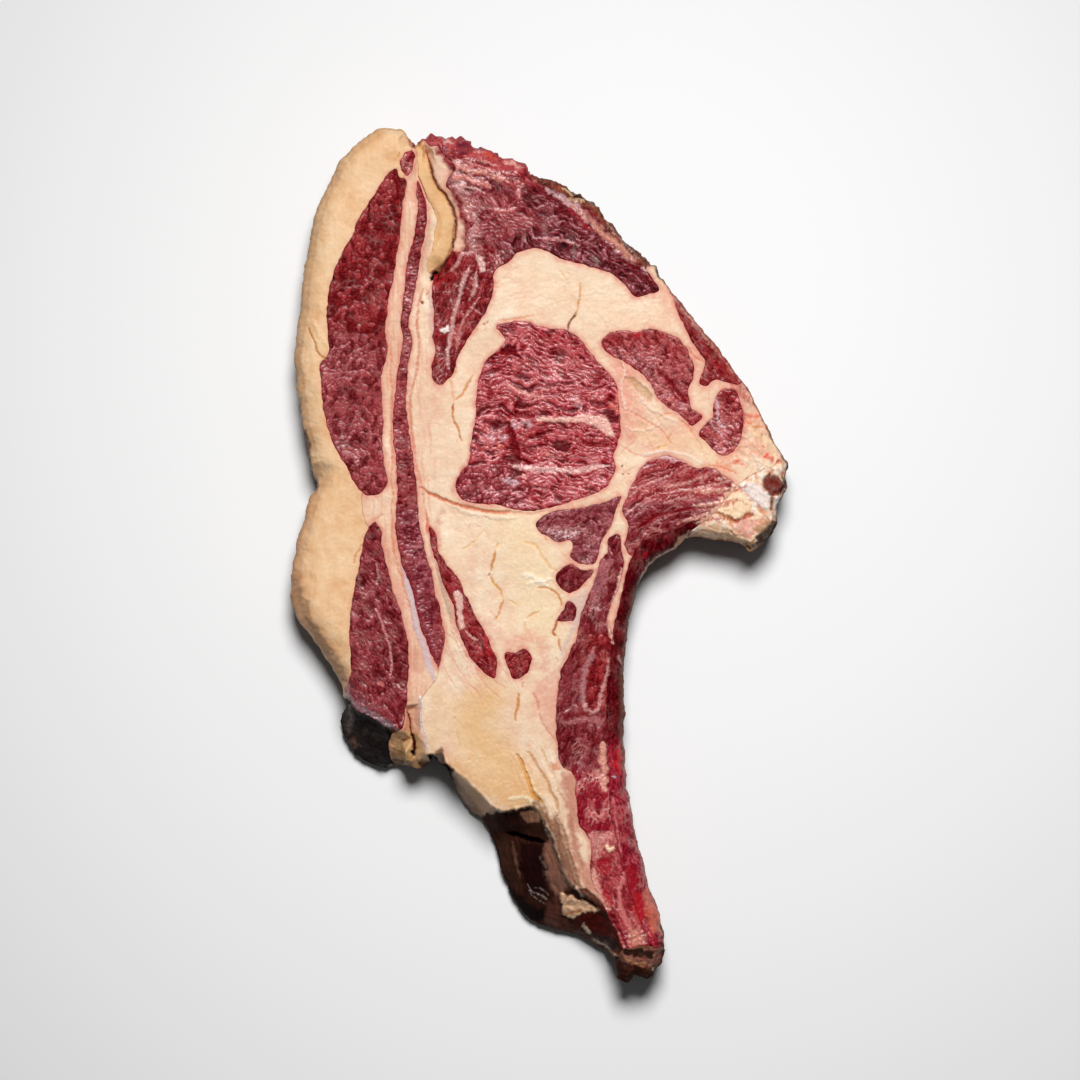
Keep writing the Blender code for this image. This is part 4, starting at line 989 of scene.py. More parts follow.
          (150, 104, 78), 0.9, 0.4, 0.8, 0.4),
    Patch(((-9, -130), (2, -131), (1, -138), (4.6, -150), (2, -154), (-6, -153), (-9, -142)),
          (30, 10, 10), 0.95, -0.8, 3.2, 1.0),
    # A near-black slot across the torn side: painted shadow in the groove
    Stroke(((-15, -125.9), (-8, -127.2), (-2, -128.6), (3.4, -129.3)), 1.35, (14, 3, 3), 1, -3.0,
           0.4, 0.35, 3),
    Patch(((2, -131), (5.4, -127), (8.6, -138), (13, -149.6), (8, -154), (4.4, -149), (2, -139)),
          (148, 98, 78), 0.9, 0, 3.6, 1.2),
    Patch(((-2, -112), (4, -118), (8, -116), (13, -128), (17, -142), (19, -150), (13, -147),
           (9.4, -137), (6, -126)), (148, 98, 72), 0.9, 0.2, 3.6, 1.2),
    Patch(((-3, -113), (1, -113), (3, -117), (1.6, -119.6), (-1, -117)), (214, 176, 128), 0.8,
          0.3, 0.8, 0.4),
    Stroke(((4.6, -119), (6.6, -125), (9, -132), (11, -140), (12.6, -146)), 0.8, (196, 150, 118),
           0.8, 0.6, 0.8, 0.5, 4),
    Stroke(((7.6, -116), (10, -124), (12.4, -132)), 0.7, (186, 136, 102), 0.7, 0.5, 0.8, 0.5, 4),
    Stroke(((3.4, -123), (6.4, -131), (8.4, -140)), 0.5, (96, 62, 46), 0.8, -0.6, 0.7, 0.3, 3),
    Stroke(((10.6, -121), (13.4, -131), (15.6, -141), (18.6, -149)), 0.6, (120, 72, 48), 0.8, -0.6,
           0.7, 0.3, 3),
    Patch(((10, -98), (15.6, -99), (17, -112), (17.4, -128), (18.6, -136), (23.4, -143),
           (25, -151), (21.6, -151), (17, -144), (13.6, -128), (11.4, -112)), (204, 136, 112),
          0.9, 0, 3.2, 1.2),
    wash(((-1, -112), (5, -120), (9, -130), (11.6, -140), (16, -148)), 3.4, (128, 80, 58), 0.8,
         1.2),
    wash(((15, -119), (16, -130), (19, -140)), 1.6, (176, 112, 88), 0.6, 0.8),
    Patch(((17.6, -150), (21, -149.6), (25.6, -153.4), (30, -160), (27, -160.4), (22, -156)),
          (84, 28, 16), 0.95, -0.6, 0.8, 0.4),
    Patch(((9.2, -152.8), (14, -153.4), (22, -156.8), (27, -160), (20, -161.4), (15, -164),
           (9.8, -162), (10.4, -158)), (250, 198, 156), 1, 0.9, 1.2, 0.9, 0.25),
    Stroke(((11, -161.6), (15, -161), (19, -160.4)), 1.0, (214, 118, 56), 0.85, 0, 0.8, 0.4, 1),
    Patch(((14.6, -165), (20, -161.8), (28, -161), (31, -165), (34, -173), (28, -172),
           (20, -170), (15, -168)), (78, 20, 14), 1, 0.2, 1.8, 1.0),
    Stroke(((19.8, -167.2), (21.2, -169), (22.4, -170.6)), 1.1, (214, 190, 158), 0.9, 0.6, 0.6,
           0.6),
    Patch(((3, -157), (9, -155), (10, -163), (15, -169), (26, -173.4), (37, -178.6), (35, -183),
           (22, -177), (8, -171.6), (2, -166)), (100, 54, 40), 0.9, 0.2, 2.4, 1.2),
    Stroke(((24, -173.4), (30, -177), (36, -181)), 0.8, (190, 160, 130), 0.7, 0.4, 0.8, 0.5, 3),
    Patch(((-17, -148), (-9, -154), (-3, -159), (3, -161), (2, -167), (-6, -167), (-14, -158)),
          (24, 16, 16), 0.95, 0, 2.6, 1.0),
    Stroke(((-6, -148), (-4.6, -151), (-1, -153), (3.6, -156)), 0.5, (150, 138, 134), 0.8, 0.4,
           0.8, 0.4, 3),
    Stroke(((-5.4, -151), (-2.4, -154.6), (2.6, -158)), 0.4, (140, 128, 124), 0.7, 0.3, 0.8, 0.4,
           3),
    Stroke(((-3.4, -149.6), (1, -151), (4, -154)), 0.4, (130, 116, 112), 0.7, 0.3, 0.8, 0.4, 3),
    Stroke(((0, -136), (2, -141), (4, -147)), 0.4, (120, 104, 100), 0.6, 0.3, 0.8, 0.4, 3),
)

FLESH_MARKS = (
    # The crust under the outer muscle
    Patch(((-90, -66), (-86.4, -66.4), (-80, -70.6), (-73, -74.4), (-66, -77.6), (-64, -98),
           (-92, -98)), (36, 28, 26), 1, 0, 0.8, 0.3),
    wash(((-86.6, -64), (-80, -69), (-73, -73), (-66.6, -77)), 2.2, (134, 112, 118), 0.9, 0.5),
    wash(((-86, -57), (-82, -63), (-74, -69)), 3.4, (112, 66, 74), 0.5, 1.0),
    wash(((-86, -72), (-87, -80)), 4, (84, 58, 46), 0.7, 1.4),
    wash(((-84, -84), (-83, -86)), 2.6, (110, 72, 56), 0.7, 1.0),
    wash(((-78, -80), (-70, -82)), 2.6, (66, 54, 50), 0.5, 1.0),
    Stroke(((-67, -78.4), (-64, -77.8), (-61.4, -77)), 1.0, (120, 14, 12), 0.9, -0.6, 0.7, 0.5, 1),
    # Pale bands in the eye, and painted highlights on it
    Patch(((-3, 60.6), (1, 62.4), (14, 62), (22, 63.6), (30, 62), (32, 57), (34, 53), (30, 53.4),
           (27, 57), (20, 60), (10, 60), (0, 60.4)), (232, 176, 160), 0.95, 0.2, 1.0, 0.5),
    Stroke(((-14, 41), (-6, 39.4), (6, 38.4), (16, 37.8), (24, 40), (32, 40)), 1.5,
           (226, 172, 164), 0.9, 0.2, 0.7, 0.7, 4),
    Stroke(((-16, 77.6), (-10, 74), (-4, 72), (3, 70)), 1.2, (216, 136, 126), 0.8, 0.1, 0.8, 0.6,
           3),
    Stroke(((-32.6, 60), (-31.6, 50), (-32.4, 44)), 1.2, (206, 146, 150), 0.6, 0.1, 0.8, 0.4, 4),
    Stroke(((14, 70.6), (16.4, 69), (18.6, 66.4)), 1.6, (216, 164, 162), 0.7, 0.1, 0.9, 1.2, 1),
    # Painted highlights: lavender-pink glints on the wet eye
    Stroke(((-16, 34.4), (-13, 33), (-10, 32.6)), 2.2, (216, 170, 178), 0.75, 0.2, 0.9, 1.8, 1),
    Stroke(((-13, 58), (-8, 59.6), (-3, 59)), 2.2, (216, 168, 172), 0.75, 0.2, 0.9, 1.6, 1),
    Stroke(((-24, 54), (-19, 53), (-14, 53.4)), 2.4, (212, 160, 166), 0.7, 0.2, 0.9, 1.8, 1),
    # Spots of raw red in the eye
    Stroke(((-19, 50), (-17, 47.6)), 1.2, (226, 112, 92), 0.7, 0.1, 0.8, 0.6, 1),
    Stroke(((2, 46.6), (6, 44.6)), 1.2, (222, 130, 112), 0.7, 0.1, 0.8, 0.6, 1),
    Stroke(((-8, 36.6), (-5, 35)), 1.3, (222, 130, 120), 0.7, 0.1, 0.8, 0.6, 1),
    Stroke(((32, 68), (34, 66)), 2.0, (226, 110, 96), 0.8, 0.2, 0.8, 1.2),
    Stroke(((28, 87), (33, 86)), 1.4, (222, 112, 96), 0.75, 0.1, 0.8, 1.2),
    # Dark clefts in the eye
    Stroke(((-14, 60), (-12.6, 54), (-10.8, 48), (-9, 43)), 1.9, (104, 2, 12), 0.95, -1.4, 0.7,
           0.7, 3),
    Patch(((-18.4, 91.4), (-14, 95), (-10.6, 94.4), (-10.4, 91), (-14, 90.6)), (96, 2, 12), 0.95,
          -1.6, 0.8, 0.4),
    Stroke(((-16, 94), (-16.6, 98), (-19, 101)), 0.7, (206, 180, 186), 0.8, 0.3, 0.7, 0.4, 1),
    Stroke(((-14, 63), (-8, 63.4), (-2, 62.4)), 1.5, (116, 4, 16), 0.9, -0.8, 0.7, 0.6, 3),
    Stroke(((-3.6, 58), (-3, 60.4)), 1.2, (150, 8, 18), 0.9, -0.4, 0.7, 0.4, 1),
    Stroke(((-20, 63.6), (-16, 64.4)), 1.8, (118, 6, 18), 0.9, -0.6, 0.7, 0.6, 2),
    Stroke(((21, 69.6), (25, 68.4), (30, 66.8)), 2.0, (104, 4, 16), 0.85, -0.8, 0.7, 0.7, 3),
    Stroke(((-23, 70), (-22, 74)), 2.0, (120, 6, 20), 0.85, -0.6, 0.7, 0.7, 2),
    Stroke(((18, 51), (24, 50.6), (30, 49)), 1.4, (116, 6, 18), 0.85, -0.6, 0.7, 0.6, 3),
    Stroke(((-20, 41.4), (-13, 42), (-8, 41.4)), 1.3, (110, 6, 18), 0.85, -0.6, 0.7, 0.6, 3),
    Stroke(((-25, 38), (-23.6, 34), (-24, 30)), 0.5, (92, 10, 22), 0.8, -0.5, 0.7, 0.4, 2),
    Stroke(((-6, 34), (-4, 30), (-6, 27), (-9, 24)), 0.7, (96, 10, 20), 0.85, -0.6, 0.7, 0.4, 2),
    # The cap muscle: pale streaks, purple lumps and red edge
    wash(((-38, 174), (-35, 160), (-30, 150), (-31, 138)), 4.6, (212, 146, 138), 0.6, 1.8),
    Patch(((-52, 186), (-44, 188.6), (-30, 184), (-16, 180), (-6, 174), (-10, 172), (-24, 175),
           (-34, 182), (-46, 184)), (190, 76, 78), 0.5, 0, 1.6, 1.2),
    Stroke(((-43, 186.6), (-40, 186.4)), 1.8, (232, 172, 164), 0.85, 0.3, 0.9, 1.2),
    Stroke(((-29, 182.6), (-26.6, 181.6)), 1.5, (226, 156, 148), 0.8, 0.3, 0.9, 1.2),
    Stroke(((-14, 177), (-9.4, 175.6)), 1.7, (232, 168, 158), 0.8, 0.3, 0.9, 1.2),
    Stroke(((-24, 181), (-20.6, 179.6)), 1.3, (204, 74, 48), 0.85, 0.1, 0.9, 1.0),
    Stroke(((-46, 184), (-44.6, 182)), 1.5, (104, 26, 42), 0.8, -0.4, 0.9, 0.8),
    Stroke(((-36.6, 184.8), (-32.6, 184)), 1.9, (92, 24, 38), 0.85, -0.3, 0.9, 1.0),
    Stroke(((-27, 177.6), (-22, 176)), 1.2, (104, 10, 22), 0.85, -0.5, 0.9, 0.8),
    Stroke(((-18.6, 178.4), (-16, 176)), 1.2, (130, 22, 30), 0.8, -0.3, 0.9, 0.8),
    Stroke(((-8, 173.6), (-4.6, 171.6)), 1.5, (120, 20, 26), 0.85, -0.3, 0.9, 0.8),
    Stroke(((-40, 177), (-32, 173.6), (-24, 172), (-14, 168)), 2.0, (228, 152, 136), 0.8, 0.2,
           0.9, 1.3, 4),
    Stroke(((-41, 170), (-35, 170.6), (-28, 168.6), (-21, 165)), 2.2, (222, 132, 120), 0.8, 0.2,
           0.9, 1.3, 4),
    Stroke(((-40, 166), (-32, 166), (-24, 163)), 0.9, (224, 160, 150), 0.7, 0.2, 0.8, 0.6, 4),
    Stroke(((-30, 178), (-24, 177), (-18, 175)), 0.7, (226, 160, 150), 0.7, 0.2, 0.8, 0.6, 3),
    Stroke(((-28, 176.6), (-23, 175.6)), 1.3, (96, 12, 22), 0.85, -0.6, 0.8, 0.6, 2),
    Stroke(((-44, 184.6), (-42, 182)), 1.6, (130, 40, 56), 0.8, -0.3, 0.8, 0.6, 1),
    Patch(((-38, 185), (-33, 186), (-30, 182), (-34, 180), (-38, 181)), (96, 30, 44), 0.6, 0.2,
          1.4, 1.4),
    Stroke(((-10, 165), (-9, 161)), 1.6, (224, 150, 146), 0.75, 0.1, 0.8, 0.6, 1),
    Stroke(((-37, 151), (-32, 150)), 1.0, (222, 150, 140), 0.75, 0.1, 0.8, 0.5, 2),
    Stroke(((-22, 156), (-14, 155), (-10, 157)), 1.0, (216, 130, 124), 0.7, 0.1, 0.8, 0.5, 2),
    Stroke(((-36, 162), (-40, 157), (-38, 151), (-36, 144), (-39, 138)), 1.3, (230, 176, 160),
           0.75, 0.2, 0.8, 0.6, 3),
    Stroke(((0, 143), (10, 142), (18, 139)), 1.0, (216, 134, 132), 0.7, 0.1, 0.8, 0.5, 4),
    Stroke(((2, 163), (12, 155), (22, 147), (32, 138), (42, 130), (50, 122)), 2.2, DARK_RED, 0.75,
           -0.5, 0.9, 0.8, 5),
    # The dried crust on the cap muscle's edge
    Stroke(((-4, 171), (4, 168.6), (12, 165), (19, 160.6), (27, 154.6), (34, 146), (42, 137),
            (49, 130.4)), 3.6, (128, 64, 44), 0.95, 0.3, 0.8, 1.6, 3, 0.6),
    Stroke(((9, 161.6), (18, 155), (27, 147), (35, 139), (45, 130.6)), 2.4, (206, 140, 126), 0.75,
           0.1, 0.9, 1.4, 4),
    Stroke(((0, 168.6), (4, 167)), 1.4, (60, 34, 26), 0.85, -0.3, 0.8, 1.0),
    Stroke(((30, 148.6), (33, 145.4)), 1.1, (70, 36, 28), 0.8, -0.3, 0.8, 1.0),
    Stroke(((39, 139.4), (43.6, 134.4)), 1.2, (64, 34, 26), 0.8, -0.3, 0.8, 1.0),
    Stroke(((10, 165.6), (14, 163.6), (17, 162)), 1.0, (206, 168, 124), 0.9, 0.5, 0.7, 0.7, 1),
    Stroke(((12, 161), (16, 160), (20, 159.4)), 0.9, (196, 160, 124), 0.85, 0.5, 0.7, 0.6, 1),
    Stroke(((15, 162), (19, 160.6)), 1.0, (12, 8, 6), 0.95, -0.8, 0.6, 0.4, 1),
    Stroke(((3, 165), (11, 160.6), (19, 155.6)), 1.9, (196, 156, 156), 0.8, 0.2, 0.8, 1.0, 3),
    Stroke(((30, 149.6), (38, 141), (46, 132.6)), 1.0, (186, 140, 128), 0.7, 0.3, 0.8, 1.0, 3),
    Stroke(((21, 156), (24, 153.6), (26.6, 154)), 1.2, (120, 24, 20), 0.85, -0.4, 0.7, 0.6, 1),
    Stroke(((24, 149), (30, 144), (36, 139), (42, 134)), 1.3, (206, 140, 116), 0.85, 0.2, 0.8,
           0.7, 4),
    Stroke(((46, 129.6), (49, 128)), 1.3, (214, 170, 170), 0.8, 0.3, 0.7, 0.6, 1),
    Stroke(((12, 156.4), (18, 151.6), (24, 146)), 0.9, (160, 10, 20), 0.8, -0.2, 0.8, 0.5, 3),
    # The cap muscle's leg
    vein(((-31.6, 130), (-34, 124), (-35.6, 118), (-38, 111), (-39.6, 102), (-41, 92), (-41, 84)),
         1.3, (214, 158, 150), 0.8),
    Patch(((-29, 136), (-25.6, 134), (-24.4, 128), (-27, 127), (-28, 131)), (226, 178, 168), 0.85,
          0.2, 0.8, 0.4),
    vein(((-28.6, 128), (-29, 121), (-32, 115)), 1.3, (214, 150, 142), 0.75),
    vein(((-27, 116), (-33, 108), (-36, 100), (-37.6, 92)), 1.0, (204, 128, 124), 0.7),
    vein(((-34, 138), (-37, 132), (-41, 128)), 1.4, (214, 146, 140), 0.7),
    Patch(((-45, 102), (-41, 104), (-40.6, 101), (-43, 99.6)), (236, 224, 214), 0.9, 0.4, 0.5,
          0.4),
    Stroke(((-25, 125), (-22, 124)), 0.8, (120, 16, 28), 0.8, -0.5, 0.7, 0.3, 1),
    # The edge muscle's dried rim
    Stroke(((57, 121), (66, 110), (82, 90.6), (92, 78)), 1.9, (204, 148, 128), 0.75, 0.1, 0.9, 1.2,
           4),
    # The round seam muscle's film
    Stroke(((77, 73), (80.4, 67), (80, 61), (84, 56)), 1.0, (210, 178, 188), 0.75, 0.2, 0.8, 0.6,
           3),
    Stroke(((74, 66), (78, 58), (84, 52)), 0.7, (206, 160, 168), 0.7, 0.2, 0.8, 0.5, 3),
    # The upper rib muscle's fans of pale fibres and dark clefts
    Stroke(((49, 43), (54, 44.6), (60, 43.6), (66, 42)), 1.5, (226, 186, 188), 0.75, 0.3, 0.9, 1.2,
           3),
    vein(((58, 31), (68, 33), (78, 37), (86, 40)), 0.9, (224, 160, 148), 0.65),
    vein(((62, 29), (70, 29.6), (80, 32), (89, 35)), 0.8, (228, 168, 154), 0.7),
    vein(((54, 23), (62, 25.4), (72, 25)), 1.0, (218, 150, 142), 0.6),
    vein(((40, 26), (46, 31), (54, 34), (62, 38)), 0.6, (216, 150, 148), 0.8),
    vein(((36, 16), (44, 22), (52, 25)), 0.6, (214, 146, 146), 0.8),
    vein(((42, 34), (46, 39), (52, 41)), 0.5, (216, 160, 160), 0.8),
    Stroke(((44, 12), (54, 17.6), (66, 20.6), (76, 22)), 1.3, (132, 6, 16), 0.85, -0.4, 0.8, 0.6,
           4),
    Stroke(((40, 20), (48, 26.6), (58, 29.4)), 0.7, (96, 4, 14), 0.8, -0.5, 0.8, 0.5, 4),
    Stroke(((48, 36), (56, 38.6), (64, 40)), 0.6, (110, 8, 20), 0.8, -0.4, 0.8, 0.5, 4),
    Stroke(((90, 36.6), (84, 35), (78, 34)), 1.2, (238, 180, 158), 0.7, 0.3, 0.9, 0.6, 4),
    Stroke(((87, 31), (80, 29), (70, 28.4)), 1.5, (236, 178, 156), 0.7, 0.3, 0.9, 0.6, 5),
    Stroke(((82, 24.4), (76, 23), (67, 22.6)), 1.3, (234, 172, 152), 0.7, 0.3, 0.9, 0.6, 5),
    Stroke(((76, 19), (70, 16.6), (61, 14)), 1.4, (230, 166, 148), 0.65, 0.3, 0.9, 0.6, 5),
    Patch(((93, 38), (87, 32), (80, 24), (72, 15), (77, 15), (86, 24), (95, 34)),
          (238, 190, 162), 0.8, 0.1, 2.4, 2.2),
    # The upper seam muscle
    Stroke(((53, 82.7), (58.3, 78.7), (62, 74.4), (66, 68)), 0.8, (104, 8, 20), 0.9, -0.8, 0.7,
           0.4, 3),
    Stroke(((42, 98), (46, 101)), 1.6, (196, 30, 40), 0.8, 0, 0.7, 0.5, 1),
    # The outer muscle's pale seam
    Stroke(((-74, -23), (-70.6, -31), (-68, -40), (-66.4, -50), (-67.6, -56)), 0.8,
           (206, 130, 126), 0.85, 0, 0.8, 0.5, 4),
    Stroke(((-74, -3), (-72.6, -8), (-73, -14)), 0.8, (206, 140, 138), 0.7, 0.1, 0.8, 0.5, 2),
    Stroke(((-73, -57), (-70, -59)), 1.4, (216, 110, 104), 0.7, 0, 0.8, 0.8, 1),
    # The strip muscle's smooth dark left side
    Stroke(((-59, -6), (-55.6, -22), (-51, -38), (-47, -47)), 2.2, (124, 20, 36), 0.8, -0.1, 0.7,
           0.5, 5),
    # The inner strip
    Patch(((-39, -17), (-36.6, -15.6), (-34.6, -18), (-34.8, -25), (-33.6, -33), (-36, -34),
           (-37, -26)), (226, 178, 164), 0.95, 0.2, 0.7, 0.4),
    Stroke(((-33.6, -34.6), (-30, -37), (-27.4, -38)), 0.8, (222, 164, 156), 0.8, 0.1, 0.8, 0.4,
           2),
    Stroke(((-24.4, -34.6), (-23.6, -40), (-22, -45)), 1.3, (182, 20, 34), 0.85, 0, 0.8, 0.4, 2),
    # The lower rib muscle
    Stroke(((24.6, -41), (20.6, -52), (19, -62), (20, -68)), 2.3, (190, 130, 132), 0.75, 0.1, 0.9,
           0.9, 4),
    Stroke(((19.6, -64), (20.6, -69), (23, -71), (26.4, -69), (27.8, -62), (30, -54), (31.6, -46)),
           1.3, (212, 150, 144), 0.8, 0.1, 0.9, 0.7, 4),
    Stroke(((10, -76), (18, -74), (28, -73)), 1.8, (190, 112, 112), 0.6, 0, 0.9, 1.0, 4),
    Patch(((24, -8), (28, -2), (33, -2), (30, -12), (26, -20), (23, -24)), (196, 120, 124), 0.5,
          0, 3, 1.0),
    Stroke(((31, 14), (30, 6), (33, 0)), 0.9, (216, 140, 136), 0.7, 0, 0.8, 0.5, 3),
    Stroke(((36.6, -6), (35, -16), (31.6, -26), (31.6, -34), (33, -40)), 1.1, (228, 176, 160),
           0.85, 0.2, 0.8, 0.5, 4),
    Stroke(((28.6, -85), (28.4, -95), (29, -106)), 2.8, (226, 156, 138), 0.9, 0.1, 0.9, 1.8, 4),
    Stroke(((30, -131), (31.4, -132.6), (33, -132)), 1.3, (248, 206, 172), 0.95, 0.9, 0.6, 0.6),
    Stroke(((33, -106), (34, -116), (35.4, -126), (37, -136)), 0.7, (206, 120, 120), 0.7, 0.1,
           0.8, 0.5, 4),
    Patch(((22, -126), (27, -124), (33, -126), (30, -130), (25, -138), (24, -134)),
          (220, 146, 134), 0.7, 0, 3.0, 1.4),
    Patch(((24, -140), (27, -148), (30, -154), (33, -160), (30, -160), (25, -152), (23.4, -144)),
          (228, 166, 146), 0.8, 0.1, 1.0, 0.6),
    Patch(((42, -150), (46.6, -153), (48, -163), (45.4, -167), (42, -160)), (176, 14, 26), 0.8,
          -0.3, 2.4, 1.0),
    Patch(((38.6, -140), (42.6, -138), (44.6, -146), (42, -152), (39, -148)), (150, 8, 26), 0.85,
          -0.4, 1.0, 0.6),
    Patch(((26, -138), (31, -136), (33, -141), (30, -145), (26.6, -143)), (158, 8, 28), 0.85,
          -0.3, 1.0, 0.6),
    Patch(((28, -151), (31, -150), (33, -158), (31, -160), (28.6, -156)), (166, 18, 34), 0.8, -0.2,
          1.0, 0.6),
    Stroke(((38, -142), (36, -152), (38, -162), (42, -170)), 1.6, (216, 120, 118), 0.85, 0.1, 0.8,
           0.8, 4),
    Stroke(((31.6, -160), (34, -166), (38, -172)), 1.8, (90, 6, 12), 0.85, -0.4, 0.8, 0.8, 3),
    Patch(((40, -169), (44, -167.6), (48, -171), (46, -176), (41, -175)), (218, 146, 126), 0.75,
          0.1, 2.6, 0.8),
    # The lining's chips, raw bits and outer rim
    Stroke(((34.6, -87), (36, -92), (36, -97.6)), 2.7, (200, 26, 38), 0.9, 0.4, 0.9, 1.6, 2),
    Stroke(((32.4, -99.6), (34.6, -100)), 0.9, (204, 190, 206), 0.9, 0.3, 0.6, 0.4, 1),
    Stroke(((35, -45), (38, -50)), 1.0, (206, 150, 140), 0.7, 0.1, 0.7, 0.5, 1),
    Stroke(((47.4, -1), (48, 0.6)), 1.1, (160, 4, 22), 0.9, 0.2, 0.7, 0.4),
    Patch(((66.6, 8.4), (60, 3.4), (53, -0.8), (48, -6), (44.4, -13), (46.6, -13.6), (51, -7),
           (57, 0), (63, 8), (68, 11)), (200, 140, 100), 0.8, 0.3, 0.8, 0.7),
    Stroke(((42.6, -14), (40.6, -24), (38.8, -38), (37, -56), (37, -76), (38.4, -96)), 1.7,
           (104, 58, 44), 0.85, 0.1, 0.8, 0.6, 3),
    Stroke(((40.4, -104), (42, -116), (44.4, -128), (47.6, -141)), 1.2, (196, 92, 62), 0.8, 0.2,
           0.8, 0.9, 3),
    Stroke(((40, -112), (41.4, -115)), 1.1, (238, 190, 160), 0.9, 0.5, 0.7, 0.5, 1),
    Patch(((48, -148), (51.6, -154), (54.4, -163), (55.6, -171), (50.6, -170), (48, -160),
           (46.6, -152)), (212, 112, 86), 0.75, 0.1, 2.6, 1.2),
    Stroke(((54, -162), (55, -170)), 1.0, (206, 132, 50), 0.8, 0.2, 0.8, 0.5, 1),
)

BONE_MARKS = (
    # The chine: cream crumbs, pale bone, pink and dried patches
    Patch(((66, 6), (76, 13), (86, 12), (92, 8), (90, 3), (80, 5)), (236, 196, 156), 0.85, 0, 1.5,
          0.8),
    Patch(((78, 20), (84, 28), (92, 28), (96, 22), (92, 17), (86, 16)), (250, 214, 176), 0.9, 0.5,
          1.4, 0.9),
    Patch(((90, 31), (96, 34), (101, 30), (104.6, 27), (103, 21), (98, 22), (94, 26)),
          (240, 224, 218), 0.9, 0.6, 1.2, 0.8),
    Patch(((88, 16), (94, 18), (98, 14), (95, 8), (90, 10)), (226, 150, 134), 0.8, 0.1, 1.4, 0.9),
    Stroke(((84, 17), (89, 15.6), (94, 18), (97, 17.6)), 1.1, (150, 66, 32), 0.85, -1.0, 0.7, 0.7,
           2),
    Stroke(((79, 19.6), (84, 17.4), (88, 16)), 1.2, (176, 104, 54), 0.8, -0.8, 0.7, 0.6, 2),
    Stroke(((86, 11), (89, 8)), 0.9, (130, 34, 26), 0.8, -0.6, 0.7, 0.5, 1),
    Stroke(((98, 24), (101, 18), (104, 15)), 0.7, (196, 120, 70), 0.8, -0.6, 0.7, 0.4, 2),
    Stroke(((91, 30), (95, 26), (99, 22)), 0.5, (206, 160, 140), 0.7, -0.4, 0.7, 0.4, 2),
    Patch(((100, 34), (103, 36.4), (107, 35.6), (110.6, 31), (108, 27), (104, 27), (101, 30)),
          (104, 14, 14), 0.95, -1.2, 1.2, 0.8),
    Stroke(((79, 21), (84, 23), (89, 25)), 1.5, (186, 66, 66), 0.75, -0.1, 0.9, 1.6, 4),
    Stroke(((84, 28.6), (89, 30), (93, 31.6)), 1.3, (190, 76, 72), 0.75, -0.1, 0.9, 1.4, 4),
    Stroke(((74, 15.6), (79, 16.6), (84, 16.4)), 1.2, (180, 60, 60), 0.75, -0.1, 0.9, 1.2, 4),
    Stroke(((109, 36), (110.6, 32), (108.6, 28)), 1.3, (50, 16, 12), 0.9, -0.6, 0.7, 0.7, 1),
    Stroke(((105.4, 28), (105, 24), (104, 20.6)), 1.2, (122, 54, 26), 0.9, -0.8, 0.7, 0.6, 1),
    Stroke(((107.4, 26), (106.8, 21.6)), 1.0, (248, 244, 240), 0.95, 0.8, 0.6, 0.6),
    Patch(((98, 9), (104, 16), (108, 16), (106, 10), (100, 2), (97, 4)), (46, 30, 24), 0.95, -0.2,
          1.2, 0.8),
    Patch(((96, 12), (101, 16), (104, 15), (99, 9)), (176, 130, 92), 0.8, 0.1, 1.0, 0.7),
    Patch(((91, 6), (97, 7.4), (98, 3), (94, 0.6), (90, 3)), (176, 136, 98), 0.9, 0.3, 0.9, 0.5),
    Stroke(((92.6, 4), (94.6, 3), (96.4, 4)), 0.8, (70, 44, 30), 0.85, -0.8, 0.7, 0.4),
    Stroke(((66, 7.6), (74, 7.6), (84, 6.6), (90, 5)), 1.1, (206, 140, 84), 0.85, 0.1, 0.8, 0.7,
           2),
    wash(((86, 37), (93, 40), (100, 42), (107, 45)), 2.6, (246, 200, 168), 0.8, 1.2),
    # The tip of the rib
    Patch(((33, -172), (56, -170), (58, -184), (52, -192), (34, -194)), (106, 46, 32), 0.95, 0, 2,
          1.0),
    Patch(((38, -177), (52, -178), (51, -181), (42, -180.6), (37, -179)), (32, 16, 12), 0.95, -0.9,
          1.0, 0.8),
    Patch(((33, -182), (42, -184), (52, -187), (52, -193), (34, -195)), (52, 24, 16), 0.95, 0.1,
          1.2, 0.9),
    Stroke(((37, -181), (43, -183.4), (50, -184.6)), 0.8, (170, 116, 78), 0.85, 0.5, 0.7, 0.7, 2),
    Stroke(((46, -174), (52, -173), (55, -174)), 1.4, (196, 110, 70), 0.8, 0.3, 0.8, 0.8, 1),
    Stroke(((36, -175), (40, -174.6)), 1.2, (84, 10, 8), 0.85, -0.4, 0.8, 0.6, 1),
    Stroke(((51.4, -186), (52, -187.4)), 0.8, (216, 190, 160), 0.9, 0.5, 0.6, 0.4),
)


class Streaks(NamedTuple):
    """An area of streaks that run at ANGLE degrees and change its tone and its height.

    They are about ALONG long and ACROSS wide, in millimetres.
    """

    points: tuple
    angle: float
    along: float
    across: float
    tone: float
    relief: float


